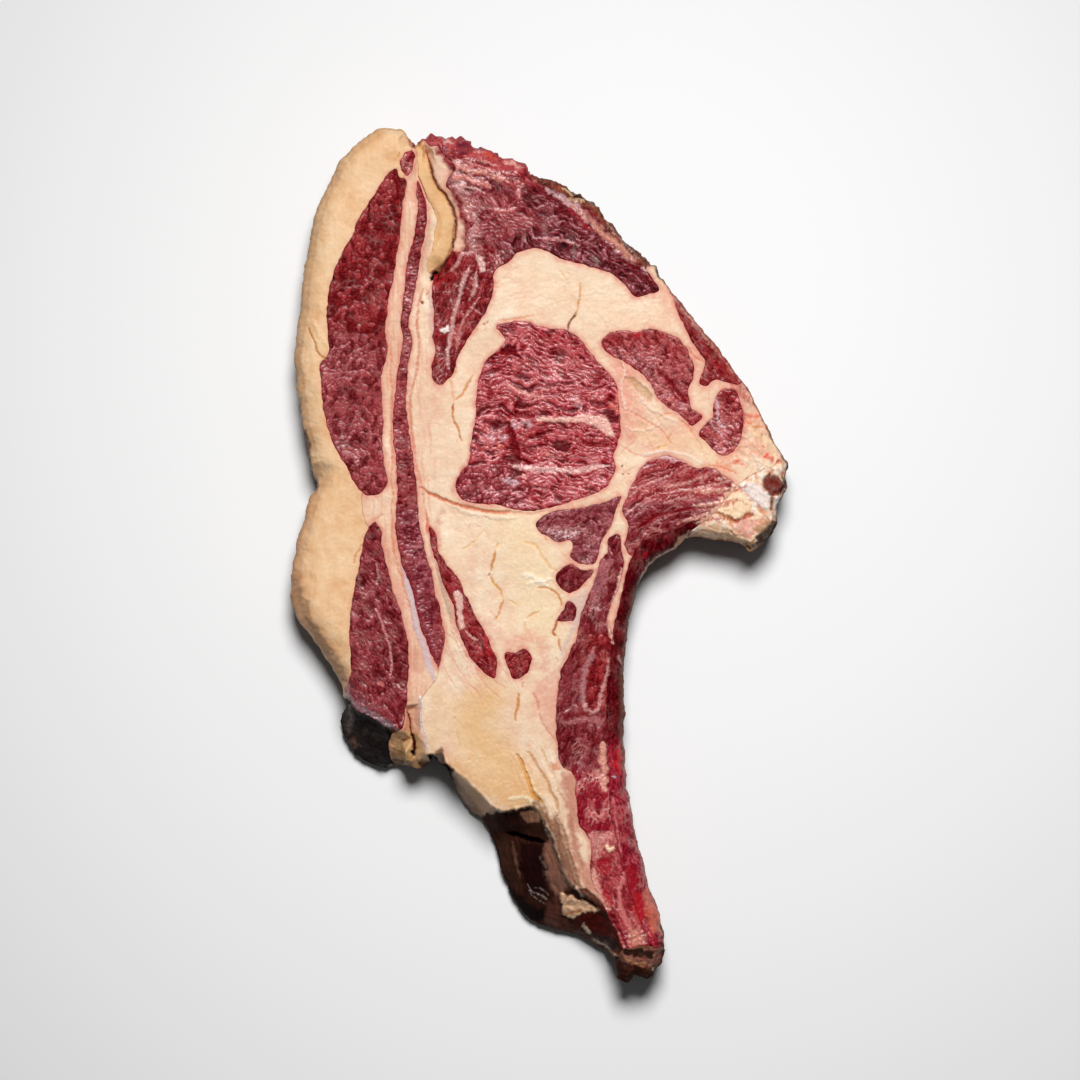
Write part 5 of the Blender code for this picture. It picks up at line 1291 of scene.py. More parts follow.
STREAKS = (
    Streaks(((-30, -118), (-12, -113), (6, -112), (16, -140), (22, -152), (10, -156), (-2, -172),
             (-20, -150)), -72, 10, 1.1, 0.35, 0.3),
    Streaks(((8, -92), (18, -92), (24, -150), (16, -150)), -76, 12, 1.2, 0.14, 0.2),
    Streaks(((0, -152), (34, -158), (36, -184), (6, -174)), -30, 3.4, 1.4, 0.4, 0.35),
    Streaks(((-20, -84), (6, -84), (16, -116), (-2, -116)), -68, 10, 1.3, 0.08, 0.16),
    Streaks(((-92, -64), (-64, -76), (-60, -98), (-94, -98)), -24, 3.2, 1.5, 0.5, 0.4),
    Streaks(((-50, -38), (-34, -26), (-8, -60), (-40, -66)), -58, 14, 1.0, 0.07, 0.12),
    Streaks(((34, 92), (38, 50), (60, 46), (86, 46), (98, 64), (80, 62), (62, 54), (50, 72)),
            -48, 7, 1.9, 0.05, 0.14),
    Streaks(((84, 66), (94, 76), (112, 48), (108, 34), (86, 40)), -60, 2.8, 1.8, 0.16, 0.4),
    Streaks(((-30, 130), (56, 122), (50, 100), (30, 112), (-20, 112)), 12, 6, 2.2, 0.03, 0.12),
    Streaks(((31, -170), (58, -168), (58, -196), (31, -196)), 10, 3.0, 1.2, 0.5, 0.4),
)


def draw_streaks(p, tint, relief):
    """Adds the streaked areas to a surface's colour and height."""
    for n, area in enumerate(STREAKS):
        close = in_box(p, area.points, 2)
        if not close.any():
            continue
        spots = p[close]
        share = step(-1.5, 1.5, depth_inside(spots, area.points))
        x, y = (c + 0.8 * noise_at(spots, 6, STREAK_BEND_SEED + k) for k, c in enumerate(spots.T))
        u, v = turned(x, y, area.angle)
        wave = fractal(u / area.along, v / area.across, STREAK_SEED + n, 2)
        tint[close] *= np.clip(1 + area.tone * wave * share, 0.2, 2)[:, None]
        relief[close] += area.relief * wave * share
    return tint, relief


# How far in from the outline a side still colours the top, and how far in its bumps fade
SIDE_REACH = 8
BUMP_REACH = 2.5


class Side(NamedTuple):
    """How the rim of the top and the wall below look beside one stretch of the outline.

    RIM colours the top within REACH of the edge, HIGH and LOW colour the wall from its top to its
    foot, and ROUGH is how far the wall's bumps stand out, in millimetres. LOW is HIGH darkened, as
    painted shade near the floor.
    """

    points: tuple
    rim: tuple
    reach: float
    high: tuple
    low: tuple
    rough: float


# Each stretch's LOW is its HIGH darkened: painted shade at the foot of the wall
SIDES = (
    Side(((-61.5, 191.8), (-72.5, 193), (-83.6, 185.5), (-94.2, 170), (-102, 152), (-106.8, 126),
          (-109.4, 101), (-110.9, 92), (-108.9, 70)), (200, 150, 92), 1.2, (204, 154, 98),
         (112, 76, 48), 0.25),
    Side(((-108.9, 70), (-107.2, 58), (-103.6, 41), (-100.2, 31)), (112, 72, 44), 1.4,
         (138, 94, 60), (64, 42, 32), 0.4),
    Side(((-103.3, 27), (-109, 8.4), (-112.2, -13), (-111.6, -22.5)), (198, 142, 88), 1.4,
         (186, 132, 84), (96, 64, 44), 0.25),
    Side(((-109.2, -29.6), (-104, -35.8), (-93.4, -51.5), (-89.2, -60)), (206, 164, 120), 1.0,
         (140, 100, 70), (54, 36, 28), 0.35),
    Side(((-88.8, -67), (-89.9, -75), (-84, -89.7), (-71, -96.4)), (40, 28, 24), 2.0, (30, 20, 18),
         (22, 14, 12), 0.7),
    Side(((-65.4, -95.6), (-54.8, -96.4), (-49.6, -93.6)), (130, 92, 58), 0.8, (84, 58, 40),
         (44, 30, 24), 0.5),
    Side(((-43.2, -97.4), (-37, -108.6), (-27, -119.6)), (96, 68, 48), 1.0, (90, 64, 48),
         (50, 34, 28), 0.4),
    Side(((-23, -124.5), (-16.4, -145), (-5.5, -164.2)), (40, 26, 22), 1.2, (36, 24, 20),
         (24, 16, 14), 0.8),
    Side(((2.5, -168.4), (19.9, -173.6), (28.5, -178.4)), (74, 50, 38), 1.0, (58, 38, 30),
         (34, 20, 16), 0.8),
    Side(((34.6, -182.5), (39.4, -192.3), (48.6, -191.2), (55.6, -182.4), (55.8, -171)),
         (70, 36, 26), 1.2, (80, 42, 28), (38, 20, 16), 1.2),
    Side(((54, -162), (46.9, -139.5), (40.7, -111), (38.3, -92)), (150, 70, 52), 0.9,
         (150, 70, 54), (96, 50, 38), 0.8),
    Side(((37.8, -82), (38.2, -47), (40.6, -27), (44.9, -12.5)), (104, 60, 48), 1.2, (112, 60, 48),
         (74, 38, 30), 0.5),
    Side(((48.6, -6.3), (60.6, 3), (66.1, 7.8)), (196, 142, 96), 1.0, (150, 96, 62), (64, 34, 26),
         0.6),
    Side(((75, 7.7), (84, 6.7), (90.8, 5), (98.6, 3.2)), (190, 128, 78), 1.0, (120, 74, 48),
         (46, 28, 22), 0.7),
    Side(((103.2, 7.5), (106.8, 14.5), (107.8, 23), (111.2, 29.5), (112.4, 40.5)), (72, 36, 26),
         1.3, (84, 44, 32), (44, 26, 20), 1.1),
    Side(((108, 47.3), (104, 55), (98.6, 65)), (120, 50, 42), 1.4, (140, 70, 54), (84, 46, 36),
         0.6),
    Side(((94.6, 74), (83.4, 89.5), (66, 111), (58.5, 120)), (128, 52, 46), 1.2, (124, 60, 48),
         (76, 42, 34), 0.5),
    Side(((55, 124), (46, 134.4), (31, 150.8), (17.4, 162.6), (3.6, 169.9)), (88, 54, 42), 1.2,
         (108, 64, 48), (54, 32, 26), 2.0),
    Side(((-8, 176.6), (-24, 183.2), (-40.5, 187.2), (-53.4, 187)), (150, 52, 56), 1.4,
         (140, 48, 50), (90, 36, 34), 2.6),
)


def patch_cover(patch, corners, p, seed):
    """How fully a patch covers each point."""
    gap = patch.rough * noise_at(p, PATCH_WAVES, seed, 2) - depth_inside(p, corners)
    return 1 - step(-patch.soft / 2, patch.soft / 2, gap)


def stroke_cover(stroke, line, p, seed):
    """How fully a stroke covers each point."""
    gap, place, _ = line_distance(p, line)
    waves = np.clip(stroke.width * 1.2, *STROKE_WAVES)
    gap = gap + stroke.rough * noise_at(p, waves, seed, 2)
    width = np.full(len(p), stroke.width)
    if stroke.taper:
        length = np.linalg.norm(np.diff(line, axis=0), axis=1).sum()
        ends = np.minimum(place, length - place) / stroke.taper
        width = width * (END_SHARE + (1 - END_SHARE) * np.clip(ends, 0, 1))
    return 1 - step(width * (1 - stroke.soft), width, gap)


def draw_marks(marks, p, tint, relief):
    """Adds strokes and patches to a surface's colour and height."""
    for n, mark in enumerate(marks):
        if isinstance(mark, Patch):
            line, reach, cover = mark.points, mark.soft + mark.rough, patch_cover
        else:
            line, reach, cover = smooth_line(mark.points), mark.width + 2 * mark.rough, stroke_cover
        close = in_box(p, line, reach)
        if not close.any():
            continue
        spots = p[close]
        mask = cover(mark, line, spots, EDGE_SEED + n)
        # The weaker a mark is, the more unevenly it takes
        uneven = min(1, 3 * (1 - mark.strength))
        shade = noise_at(spots, 1.7, SHADE_SEED + n, 2)
        mask = mask * np.clip(1 + uneven * (0.7 * shade - 0.12), 0, 1)
        fresh = np.tile(linear(mark.colour), (len(spots), 1))
        if mark.grit:
            lumps = noise_at(spots, 2.4, GRIT_SEED + n, 3)
            fresh = fresh * np.clip(1 + mark.grit * lumps, 0.3, 2)[:, None]
            relief[close] += mark.grit * lumps * mask
        share = (mask * mark.strength)[:, None]
        tint[close] += (fresh - tint[close]) * share
        relief[close] += mark.relief * mask
    return tint, relief


class Grain(NamedTuple):
    """How the fibres of one muscle run and show, with lengths in millimetres.

    They run at ANGLE degrees in bundles ALONG long and ACROSS wide, and wander by BEND. SEPTA is
    how far pale walls part the bundles, TROUGH how dark the gaps between them are, WISPS how far
    long crests take the place of bundles, POOLS how much of it is dark and wet, and RELIEF how far
    all this stands up. The tones run from DEEP to SHINE, and SHINE is a painted highlight.
    """

    angle: float
    along: float
    across: float
    bend: float
    septa: float
    trough: float
    wisps: float
    pools: float
    relief: float
    deep: tuple
    base: tuple
    light: tuple
    shine: tuple


# The tones of each kind of meat: deep, base, light and shine, the last a painted highlight
ROSY_PLUM = ((74, 4, 10), (130, 34, 40), (168, 78, 84), (214, 158, 162))
SOFT_RED = ((84, 6, 14), (144, 44, 48), (178, 84, 88), (222, 152, 152))
MAUVE = ((74, 6, 12), (132, 46, 52), (174, 98, 106), (222, 178, 184))
PALE_ROSE = ((100, 8, 20), (170, 66, 72), (208, 126, 132), (246, 208, 210))
PLUM = ((70, 2, 8), (118, 24, 30), (152, 66, 74), (204, 150, 154))
CRIMSON = ((78, 2, 6), (132, 18, 24), (168, 58, 60), (218, 138, 132))
WET_ROSE = ((80, 0, 6), (158, 32, 40), (206, 108, 112), (250, 208, 208))
ROSE = ((88, 2, 10), (154, 40, 44), (196, 100, 100), (234, 182, 174))
PURPLE = ((44, 0, 6), (112, 22, 30), (158, 76, 86), (228, 192, 196))
DARK = ((48, 0, 6), (92, 8, 14), (128, 36, 40), (182, 110, 110))
CHERRY = ((110, 2, 20), (150, 16, 36), (196, 96, 100), (230, 170, 160))
RIB_END_ROSE = ((110, 4, 16), (162, 50, 56), (200, 106, 106), (232, 174, 162))
RASPBERRY = ((100, 2, 18), (150, 22, 42), (194, 80, 86), (226, 150, 146))
SHINY_MAUVE = ((84, 4, 20), (138, 44, 54), (190, 116, 122), (236, 206, 208))

GRAINS = {
    "outer_muscle_tip": Grain(60, 3.0, 1.8, 1.6, 0.5, 0.5, 0.3, 0.3, 0.30, *ROSE),
    "outer_muscle_upper": Grain(75, 2.7, 2.1, 1.6, 0.16, 0.55, 0.2, 0.35, 0.22, *CRIMSON),
    "outer_muscle_lower": Grain(-56, 4.2, 1.7, 1.4, 0.3, 0.8, 0.5, 0.5, 0.42, *ROSY_PLUM),
    "strip_muscle": Grain(10, 2.8, 1.8, 1.0, 0.25, 0.6, 0.45, 0.4, 0.34, *SOFT_RED),
    "cap_muscle": Grain(-28, 4.8, 2.0, 3.6, 0.18, 0.85, 0.55, 0.6, 0.44, *PURPLE),
    "rib_eye": Grain(-6, 6.2, 1.5, 2.6, 0.12, 0.95, 0.85, 0.9, 0.68, *WET_ROSE),
    "upper_seam_muscle": Grain(-40, 2.6, 1.3, 1.0, 0.3, 0.3, 0.35, 0.25, 0.20, *ROSE),
    "round_seam_muscle": Grain(160, 3.2, 1.4, 1.6, 0.6, 0.6, 0.3, 0.4, 0.34, *ROSE),
    "edge_muscle": Grain(-50, 3.0, 1.6, 1.4, 0.4, 0.5, 0.4, 0.4, 0.30, *CRIMSON),
    "upper_rib_muscle": Grain(24, 4.4, 1.5, 1.8, 0.6, 0.5, 0.6, 0.35, 0.32, *ROSE),
    "lower_rib_muscle": Grain(72, 3.6, 1.6, 2.0, 0.4, 0.45, 0.4, 0.35, 0.28, *PLUM),
    "wedge_muscle": Grain(20, 1.8, 1.4, 1.6, 0.4, 0.4, 0.3, 0.2, 0.20, *MAUVE),
    "lower_wedge_muscle": Grain(20, 2.0, 1.5, 1.6, 0.4, 0.5, 0.3, 0.4, 0.22, *PLUM),
    "seam_muscle": Grain(60, 2.2, 1.5, 1.6, 0.4, 0.4, 0.3, 0.3, 0.20, *PLUM),
    "inner_strip_muscle": Grain(-62, 3.6, 1.6, 1.4, 0.3, 0.5, 0.4, 0.45, 0.26, *CRIMSON),
    "hook_muscle": Grain(50, 2.4, 1.4, 1.6, 0.3, 0.6, 0.4, 0.4, 0.28, *CRIMSON),
    "rib_lining": Grain(84, 3.4, 1.4, 1.4, 0.15, 0.6, 0.5, 0.5, 0.30, *DARK),
}

# Parts of a muscle whose fibres differ from the rest
GRAIN_AREAS = (
    ("cap_muscle", ((-52, 142), (-26, 142), (-12, 132), (-24, 112), (-34, 92), (-44, 70),
                    (-56, 90)), Grain(68, 3.4, 1.8, 1.6, 0.35, 0.5, 0.4, 0.5, 0.30, *CRIMSON)),
    ("cap_muscle", ((-54, 190), (-4, 178), (6, 170), (-10, 164), (-30, 172), (-44, 178)),
     Grain(-20, 3.6, 1.6, 2.4, 0.5, 0.5, 0.5, 0.4, 0.36, *ROSE)),
    ("rib_eye", ((-24, 108), (26, 104), (34, 84), (0, 76), (-14, 90)),
     Grain(-26, 5.6, 1.6, 1.8, 0.15, 0.8, 0.85, 0.6, 0.55, *WET_ROSE)),
    ("rib_eye", ((-42, 40), (-14, 40), (-6, 30), (-8, 18), (-42, 20)),
     Grain(30, 2.6, 2.0, 1.6, 0.1, 0.9, 0.15, 0.2, 0.45, *PALE_ROSE)),
    ("outer_muscle_upper", ((-110, 104), (-62, 96), (-58, 10), (-104, 10)),
     Grain(80, 2.6, 2.0, 1.6, 0.14, 0.5, 0.25, 0.25, 0.22, *SOFT_RED)),
    ("cap_muscle", ((-40, 164), (-8, 162), (0, 150), (-20, 140), (-40, 146)),
     Grain(-40, 4.0, 1.9, 3.0, 0.25, 0.7, 0.5, 0.4, 0.40, *SOFT_RED)),
    ("lower_rib_muscle", ((8, -96), (34, -96), (38, -128), (20, -128)),
     Grain(78, 3.4, 1.8, 1.2, 1.0, 0.2, 0.2, 0.4, 0.26, *CHERRY)),
    ("lower_rib_muscle", ((18, -128), (40, -128), (52, -180), (30, -180)),
     Grain(-68, 4.6, 1.7, 1.2, 0.8, 0.4, 0.4, 0.3, 0.3, *RIB_END_ROSE)),
    ("lower_rib_muscle", ((20, -34), (34, -34), (32, -70), (18, -74)),
     Grain(80, 3.4, 1.5, 1.2, 0.3, 0.5, 0.4, 0.5, 0.28, *CRIMSON)),
    ("upper_rib_muscle", ((34, 22), (80, 26), (80, 12), (40, 2)),
     Grain(22, 5.0, 1.6, 1.6, 0.6, 0.5, 0.6, 0.4, 0.32, *PLUM)),
    ("rib_lining", ((28, -84), (44, -84), (60, -176), (38, -176)),
     Grain(-72, 3.6, 1.7, 1.2, 0.4, 0.5, 0.5, 0.4, 0.34, *RASPBERRY)),
    ("strip_muscle", ((-64, 20), (-50, 20), (-46, -46), (-52, -46)),
     Grain(16, 2.6, 1.8, 1.0, 0.2, 0.6, 0.3, 0.4, 0.42, *SHINY_MAUVE)),
)

# The pale walls between bundles of fibres
SEPTA_TINT = (214, 140, 130)

# The nodes that are fat, and those that are bone
FAT = {"fat_cap", "fat_seam", "fat_fold", "fat_wedge", "fat_lump", "fat_main"}
BONE = {"rib_bone", "rib_tip", "chine_bone"}


def ramp(value, stops):
    """A colour for each value, between the stops (place, colour)."""
    made = np.tile(linear(stops[0][1]), (len(value), 1))
    for (low, _), (high, colour) in zip(stops, stops[1:]):
        made = mix(made, linear(colour), np.clip((value - low) / (high - low), 0, 1))
    return made


def grain_axes(p, grain, seed):
    """Millimetres along and across the fibres, which wander a little."""
    x, y = (c + grain.bend * noise_at(p, 10, seed + n)
            + 0.3 * grain.bend * noise_at(p, 3.4, seed + 2 + n) for n, c in enumerate(p.T))
    return turned(x, y, grain.angle)


def paint_grain(grain, seed, p):
    """The cut face of bundled fibres: colour and height."""
    u, v = grain_axes(p, grain, seed)
    u, v = u / grain.along, v / grain.across
    first, second, tone = cells(u, v, seed + 5)
    border = 1 - step(0.02, 0.34, second - first)
    crests = 1 - 1.6 * np.abs(noise2(u * 0.9, v * 1.2, seed + 6))
    crests = 0.6 * crests + 0.4 * (1 - 1.6 * np.abs(noise2(u * 1.9, v * 2.3, seed + 7)))
    fine = noise2(u * 3.1, v * 3.6, seed + 11)
    broad = noise_at(p, 15, seed + 8, 2)
    pale = step(-0.1, 0.5, noise_at(p, 7, seed + 9))
    pool = noise2(u / 1.6, v / 1.7, seed + 10)
    pool = step(0.2, 0.62, pool + 0.25 * broad)
    wisps = grain.wisps * (crests - 0.45) * 1.1
    bundles = (1 - grain.wisps) * (0.75 * (tone - 0.5) - 0.5 * border * grain.trough)
    level = 0.36 + wisps + bundles + 0.22 * fine + 0.16 * broad
    # The highest levels take the shine tone, a painted highlight
    tint = ramp(level, ((0.0, grain.deep), (0.40, grain.base), (0.80, grain.light),
                        (1.15, grain.shine)))
    tint = mix(tint, linear(grain.deep), pool * grain.pools)
    tint = mix(tint, linear(SEPTA_TINT), border * pale * grain.septa)
    height = (1 - grain.wisps) * (0.7 * (1 - border) + 0.4 * (tone - 0.5))
    height = height + grain.wisps * 0.9 * crests + 0.25 * fine - 0.6 * pool * grain.pools
    return tint, grain.relief * height


# Each painter takes a piece's name, its points in plan and their distances from the muscles' rims


def paint_flesh(name, p, gaps):
    """Colour, relief and gloss of a muscle's cut face."""
    seed = FLESH_SEED + sorted(GRAINS).index(name) * FLESH_SEEDS
    tint, relief = paint_grain(GRAINS[name], seed, p)
    for n, (owner, area, grain) in enumerate(GRAIN_AREAS):
        if owner != name:
            continue
        share = step(-2, 2, depth_inside(p, area) + 2 * noise_at(p, 5, AREA_EDGE_SEED + n))
        other_tint, other_relief = paint_grain(grain, AREA_SEED + AREA_SEEDS * n, p)
        tint = mix(tint, other_tint, share)
        relief = relief + (other_relief - relief) * share
    gloss = 0.7 + 0.25 * noise_at(p, 6, seed + 20)
    return tint, relief, gloss


# The low, middle and high tone of each piece of fat, and how pink it is beside the muscles
FAT_TONES = {
    "fat_cap": ((226, 172, 122), (240, 196, 150), (246, 210, 170)),
    "fat_seam": ((220, 154, 126), (242, 194, 162), (248, 214, 184)),
    "fat_fold": ((208, 152, 100), (228, 178, 126), (238, 196, 146)),
    "fat_wedge": ((232, 180, 150), (243, 204, 174), (248, 218, 190)),
    "fat_lump": ((214, 158, 112), (232, 182, 138), (242, 204, 162)),
    "fat_main": ((238, 190, 160), (246, 212, 180), (251, 228, 200)),
}
PINK_NEAR = {"fat_cap": 0.35, "fat_fold": 0.3}

# Fat beside the muscles, its thin threads, its pale fibres and its lengthwise strands
NEAR_TINT = (226, 140, 122)
THREAD_TINT = (226, 124, 90)
FIBRE_LIGHT = (250, 222, 200)
STRAND_TINT = (228, 152, 130)

# How strongly the fibres show in the pieces of fat that have them all over
FIBRES = {"fat_seam": 1.0, "fat_cap": 0.35}


def paint_fat(name, p, gaps):
    """Colour, relief and gloss of cut fat. GAPS is the distance to the nearest muscle."""
    seed = FAT_SEED
    x, y = p[:, 0], p[:, 1]
    broad = noise_at(p, 20, seed, 3)
    lobes = noise_at(p, 5.5, seed + 5, 3)
    low, middle, high = FAT_TONES[name]
    tint = ramp(0.5 + 0.45 * broad + 0.3 * lobes, ((-0.1, low), (0.5, middle), (1.1, high)))
    pinkness = PINK_NEAR.get(name, 1.0)
    near = np.exp(-(gaps / (1.6 + 0.9 * noise_at(p, 6, seed + 8))) ** 2)
    pink = near * (0.75 + 0.4 * noise_at(p, 2.4, seed + 9)) * pinkness
    tint = mix(tint, linear(NEAR_TINT), np.clip(pink, 0, 0.85))
    thread = 1 - step(0.0, 0.06, np.abs(noise_at(p, 4.5, seed + 11)))
    thread = thread * step(0.0, 0.5, noise_at(p, 9, seed + 12))
    tint = mix(tint, linear(THREAD_TINT), thread * 0.5 * pinkness)
    relief = 0.15 * lobes + 0.07 * noise_at(p, 1.5, seed + 13, 2)
    if name in FIBRES:
        share = FIBRES[name]
        fibre = noise2(x / 0.9 + 0.04 * y, y / 14, seed + 15)
        tint = mix(tint, linear(low), step(0.1, 0.8, fibre) * 0.5 * share)
        tint = mix(tint, linear(FIBRE_LIGHT), step(0.1, 0.8, -fibre) * 0.4 * share)
        relief = relief + 0.15 * fibre * share
    if name == "fat_wedge":
        gap, _, side = line_distance(p, smooth_line(FILM_EDGE))
        share = step(-1.2, 1.6, gap * side + 1.3 * noise_at(p, 3, seed + 14, 2))
        film_tint, film_relief, _ = paint_flesh("cap_muscle", p, gaps)
        tint = mix(tint, film_tint, share)
        relief = relief + (film_relief - relief) * share
    if name == "fat_main":
        # Lengthwise strands between the strip muscle and the eye, and down the lower fat
        left = np.exp(-((x + 51 + 0.05 * (y - 60)) / 5.5) ** 2) * step(-70, 0, y)
        fibre = noise2(x / 1.0 + 0.05 * y, y / 16, seed + 16)
        tint = mix(tint, linear(STRAND_TINT), step(0.0, 0.7, fibre) * left * 0.55)
        relief = relief + 0.18 * fibre * left
    gloss = 0.45 + 0.25 * noise_at(p, 8, seed + 17)
    return tint, relief, gloss


# The low, middle and high tone of bone, and the red scraps on it
BONE_TONES = ((218, 150, 116), (246, 208, 176), (252, 236, 220))
BONE_RED = (206, 84, 70)


def paint_bone(name, p, gaps):
    """Colour, relief and gloss of rough bone and the scraps on it."""
    seed = BONE_SEED
    chips = noise_at(p, 3.4, seed, 4)
    tint = ramp(0.5 + 0.6 * chips, tuple(zip((0, 0.5, 1), BONE_TONES)))
    red = step(0.2, 0.7, noise_at(p, 2.6, seed + 5))
    tint = mix(tint, linear(BONE_RED), red * 0.5)
    gloss = 0.45 + 0.3 * noise_at(p, 4, seed + 6)
    return tint, 0.55 * chips, gloss


def paint_sides(piece, p, to_outer, tint):
    """Colours the rims and walls by the stretch of the outline beside them.

    It gives the colours, with painted shade towards the foot of each wall, and how far each point
    moves outwards to make its wall rough.
    """
    shares = []
    on_wall = piece.wall == OUTER_WALL
    near = on_wall | (to_outer < SIDE_REACH)
    p, to_outer, on_wall = p[near], to_outer[near], on_wall[near]
    for side in SIDES:
        gap, _, _ = line_distance(p, np.array(side.points, float))
        shares.append(1 / (gap + 0.6) ** 3)
    shares = np.array(shares)
    shares /= shares.sum(axis=0)
    rim, high, low = (sum(s[:, None] * linear(getattr(side, key))
                          for s, side in zip(shares, SIDES)) for key in ("rim", "high", "low"))
    reach = sum(s * side.reach for s, side in zip(shares, SIDES))
    rough = sum(s * side.rough for s, side in zip(shares, SIDES))
    x, y, z = piece.spots[near].T
    # Blotches that lighten or darken the walls and move both the rim's edge and the painted shade
    grime_and_shade = noise3(x / 2.2, y / 2.2, z / 2.2, GRIME_AND_SHADE_SEED) * 0.5
    grime_and_shade += noise3(x, y, z, GRIME_AND_SHADE_SEED + 1) * 0.35
    edge = 1 - step(0.15, 1.0, to_outer / reach - 0.5 * grime_and_shade)
    # The wall darkens from HIGH to LOW towards its foot: painted shade near the floor
    level = z / np.maximum(piece.top[near], 1)
    wall = low + (high - low) * np.clip(step(0.1, 0.95, level) + 0.5 * grime_and_shade, 0, 1)[:, None]
    wall = wall * (1 + 0.35 * grime_and_shade)[:, None]
    top = tint[near] + (rim - tint[near]) * (edge * 0.9)[:, None]
    tint[near] = np.clip(np.where(on_wall[:, None], wall, top), 0, 1)
    fade = np.where(on_wall, 1, np.exp(-(to_outer / BUMP_REACH) ** 2))
    bumps = 0.6 * noise3(x / 4, y / 4, z / 4, BUMP_SEED)
    bumps += 0.4 * noise3(x / 1.8, y / 1.8, z / 1.8, BUMP_SEED + 1)
    shift = np.zeros(len(piece.spots))
    shift[near] = rough * bumps * fade
    return tint, shift


class Surface(NamedTuple):
    """How one material shines, and the mottling and bumps that are finer than the mesh.

    STRENGTH is the share of the painted colour that it takes, MOTTLE how much that share varies,
    SCALE how fine the mottling is, and BUMP how far it stands up in millimetres.
    """

    roughness: float
    specular: float
    coat: float
    strength: float
    mottle: float
    scale: float
    bump: float


SURFACES = {
    "lean_meat": Surface(0.30, 0.30, 0.23, 0.98, 0.30, 1100, 0.16),
    "dried_meat": Surface(0.42, 0.25, 0.08, 0.98, 0.26, 1000, 0.18),
    "outer_fat": Surface(0.50, 0.35, 0.05, 0.92, 0.04, 700, 0.06),
    "inner_fat": Surface(0.44, 0.35, 0.08, 0.89, 0.05, 800, 0.08),
    "bone": Surface(0.55, 0.35, 0.05, 0.94, 0.16, 900, 0.22),
}


def scaled_noise(tree, scale, low, high):
    """A fine noise in the object's space that runs from LOW to HIGH."""
    place = tree.nodes.new("ShaderNodeTexCoord")
    noise = tree.nodes.new("ShaderNodeTexNoise")
    noise.inputs["Scale"].default_value = scale
    noise.inputs["Detail"].default_value = 4.0
    tree.links.new(place.outputs["Object"], noise.inputs["Vector"])
    spread = tree.nodes.new("ShaderNodeMapRange")
    spread.inputs["From Min"].default_value = 0.3
    spread.inputs["From Max"].default_value = 0.7
    spread.inputs["To Min"].default_value = low
    spread.inputs["To Max"].default_value = high
    tree.links.new(noise.outputs["Fac"], spread.inputs["Value"])
    return noise, spread


def painted(tree, name):
    """What the painters left on the mesh under a name."""
    made = tree.nodes.new("ShaderNodeAttribute")
    made.attribute_name = name
    return made


def meat_material(slot):
    """A moist surface whose colour comes from the mesh, with finer mottling, sheen and bump."""
    surface = SURFACES[slot]
    made = bpy.data.materials.new(slot)
    made.use_nodes = True
    tree = made.node_tree
    shader = tree.nodes["Principled BSDF"]
    tint, gloss = painted(tree, "tint"), painted(tree, "gloss")
    fine, spread = scaled_noise(tree, surface.scale, surface.strength - surface.mottle,
                                surface.strength + surface.mottle)
    shade = tree.nodes.new("ShaderNodeVectorMath")
    shade.operation = "SCALE"
    tree.links.new(tint.outputs["Color"], shade.inputs[0])
    tree.links.new(spread.outputs["Result"], shade.inputs["Scale"])
    tree.links.new(shade.outputs["Vector"], shader.inputs["Base Color"])
    rough = tree.nodes.new("ShaderNodeMapRange")
    rough.inputs["To Min"].default_value = surface.roughness + 0.25
    rough.inputs["To Max"].default_value = surface.roughness - 0.12
    tree.links.new(gloss.outputs["Fac"], rough.inputs["Value"])
    tree.links.new(rough.outputs["Result"], shader.inputs["Roughness"])
    relief = tree.nodes.new("ShaderNodeBump")
    relief.inputs["Strength"].default_value = 1.0
    relief.inputs["Distance"].default_value = surface.bump * MM
    tree.links.new(fine.outputs["Fac"], relief.inputs["Height"])
    tree.links.new(relief.outputs["Normal"], shader.inputs["Normal"])
    for name, most in (("Specular IOR Level", surface.specular), ("Coat Weight", surface.coat)):
        share = tree.nodes.new("ShaderNodeMapRange")
        share.inputs["To Max"].default_value = most
        tree.links.new(gloss.outputs["Fac"], share.inputs["Value"])
        tree.links.new(share.outputs["Result"], shader.inputs[name])
    shader.inputs["Coat Roughness"].default_value = 0.22
    return made


def add_piece(piece, tint, gloss, material):
    """Makes the finished object, in metres in the part's frame, in the place of its solid."""
    mesh = bpy.data.meshes.new(piece.name + "_looks")
    spots = piece.spots.copy()
    spots[:, :2] -= PLAN_ORIGIN
    mesh.vertices.add(len(spots))
    mesh.vertices.foreach_set("co", (spots * MM).astype(np.float32).ravel())
    mesh.loops.add(len(piece.faces) * 3)
    mesh.loops.foreach_set("vertex_index", piece.faces.astype(np.int32).ravel())
    mesh.polygons.add(len(piece.faces))
    mesh.polygons.foreach_set("loop_start", np.arange(0, len(piece.faces) * 3, 3, dtype=np.int32))
    mesh.update(calc_edges=True)
    mesh.validate()
    colour = mesh.attributes.new("tint", "FLOAT_COLOR", "POINT")
    full = np.column_stack([tint, np.ones(len(tint))]).astype(np.float32)
    colour.data.foreach_set("color", full.ravel())
    shine = mesh.attributes.new("gloss", "FLOAT", "POINT")
    shine.data.foreach_set("value", gloss.astype(np.float32))
    smooth = (piece.wall[piece.faces] != INNER_WALL).all(axis=1)
    mesh.polygons.foreach_set("use_smooth", smooth)
    mesh.materials.append(material)
    made = bpy.data.objects.new(piece.name + "_looks", mesh)
    bpy.context.scene.collection.objects.link(made)
    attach(made, "root")
    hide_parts(piece.name)


# The pieces whose material isn't that of their kind
SLOTS = {"rib_lining": "dried_meat", "fat_cap": "outer_fat", "fat_fold": "outer_fat"}

# How much of each of red, green and blue the eye sees, and how little gloss the darkest spots have
LUMINANCE = (0.2126, 0.7152, 0.0722)
DARK_GLOSS = 0.08


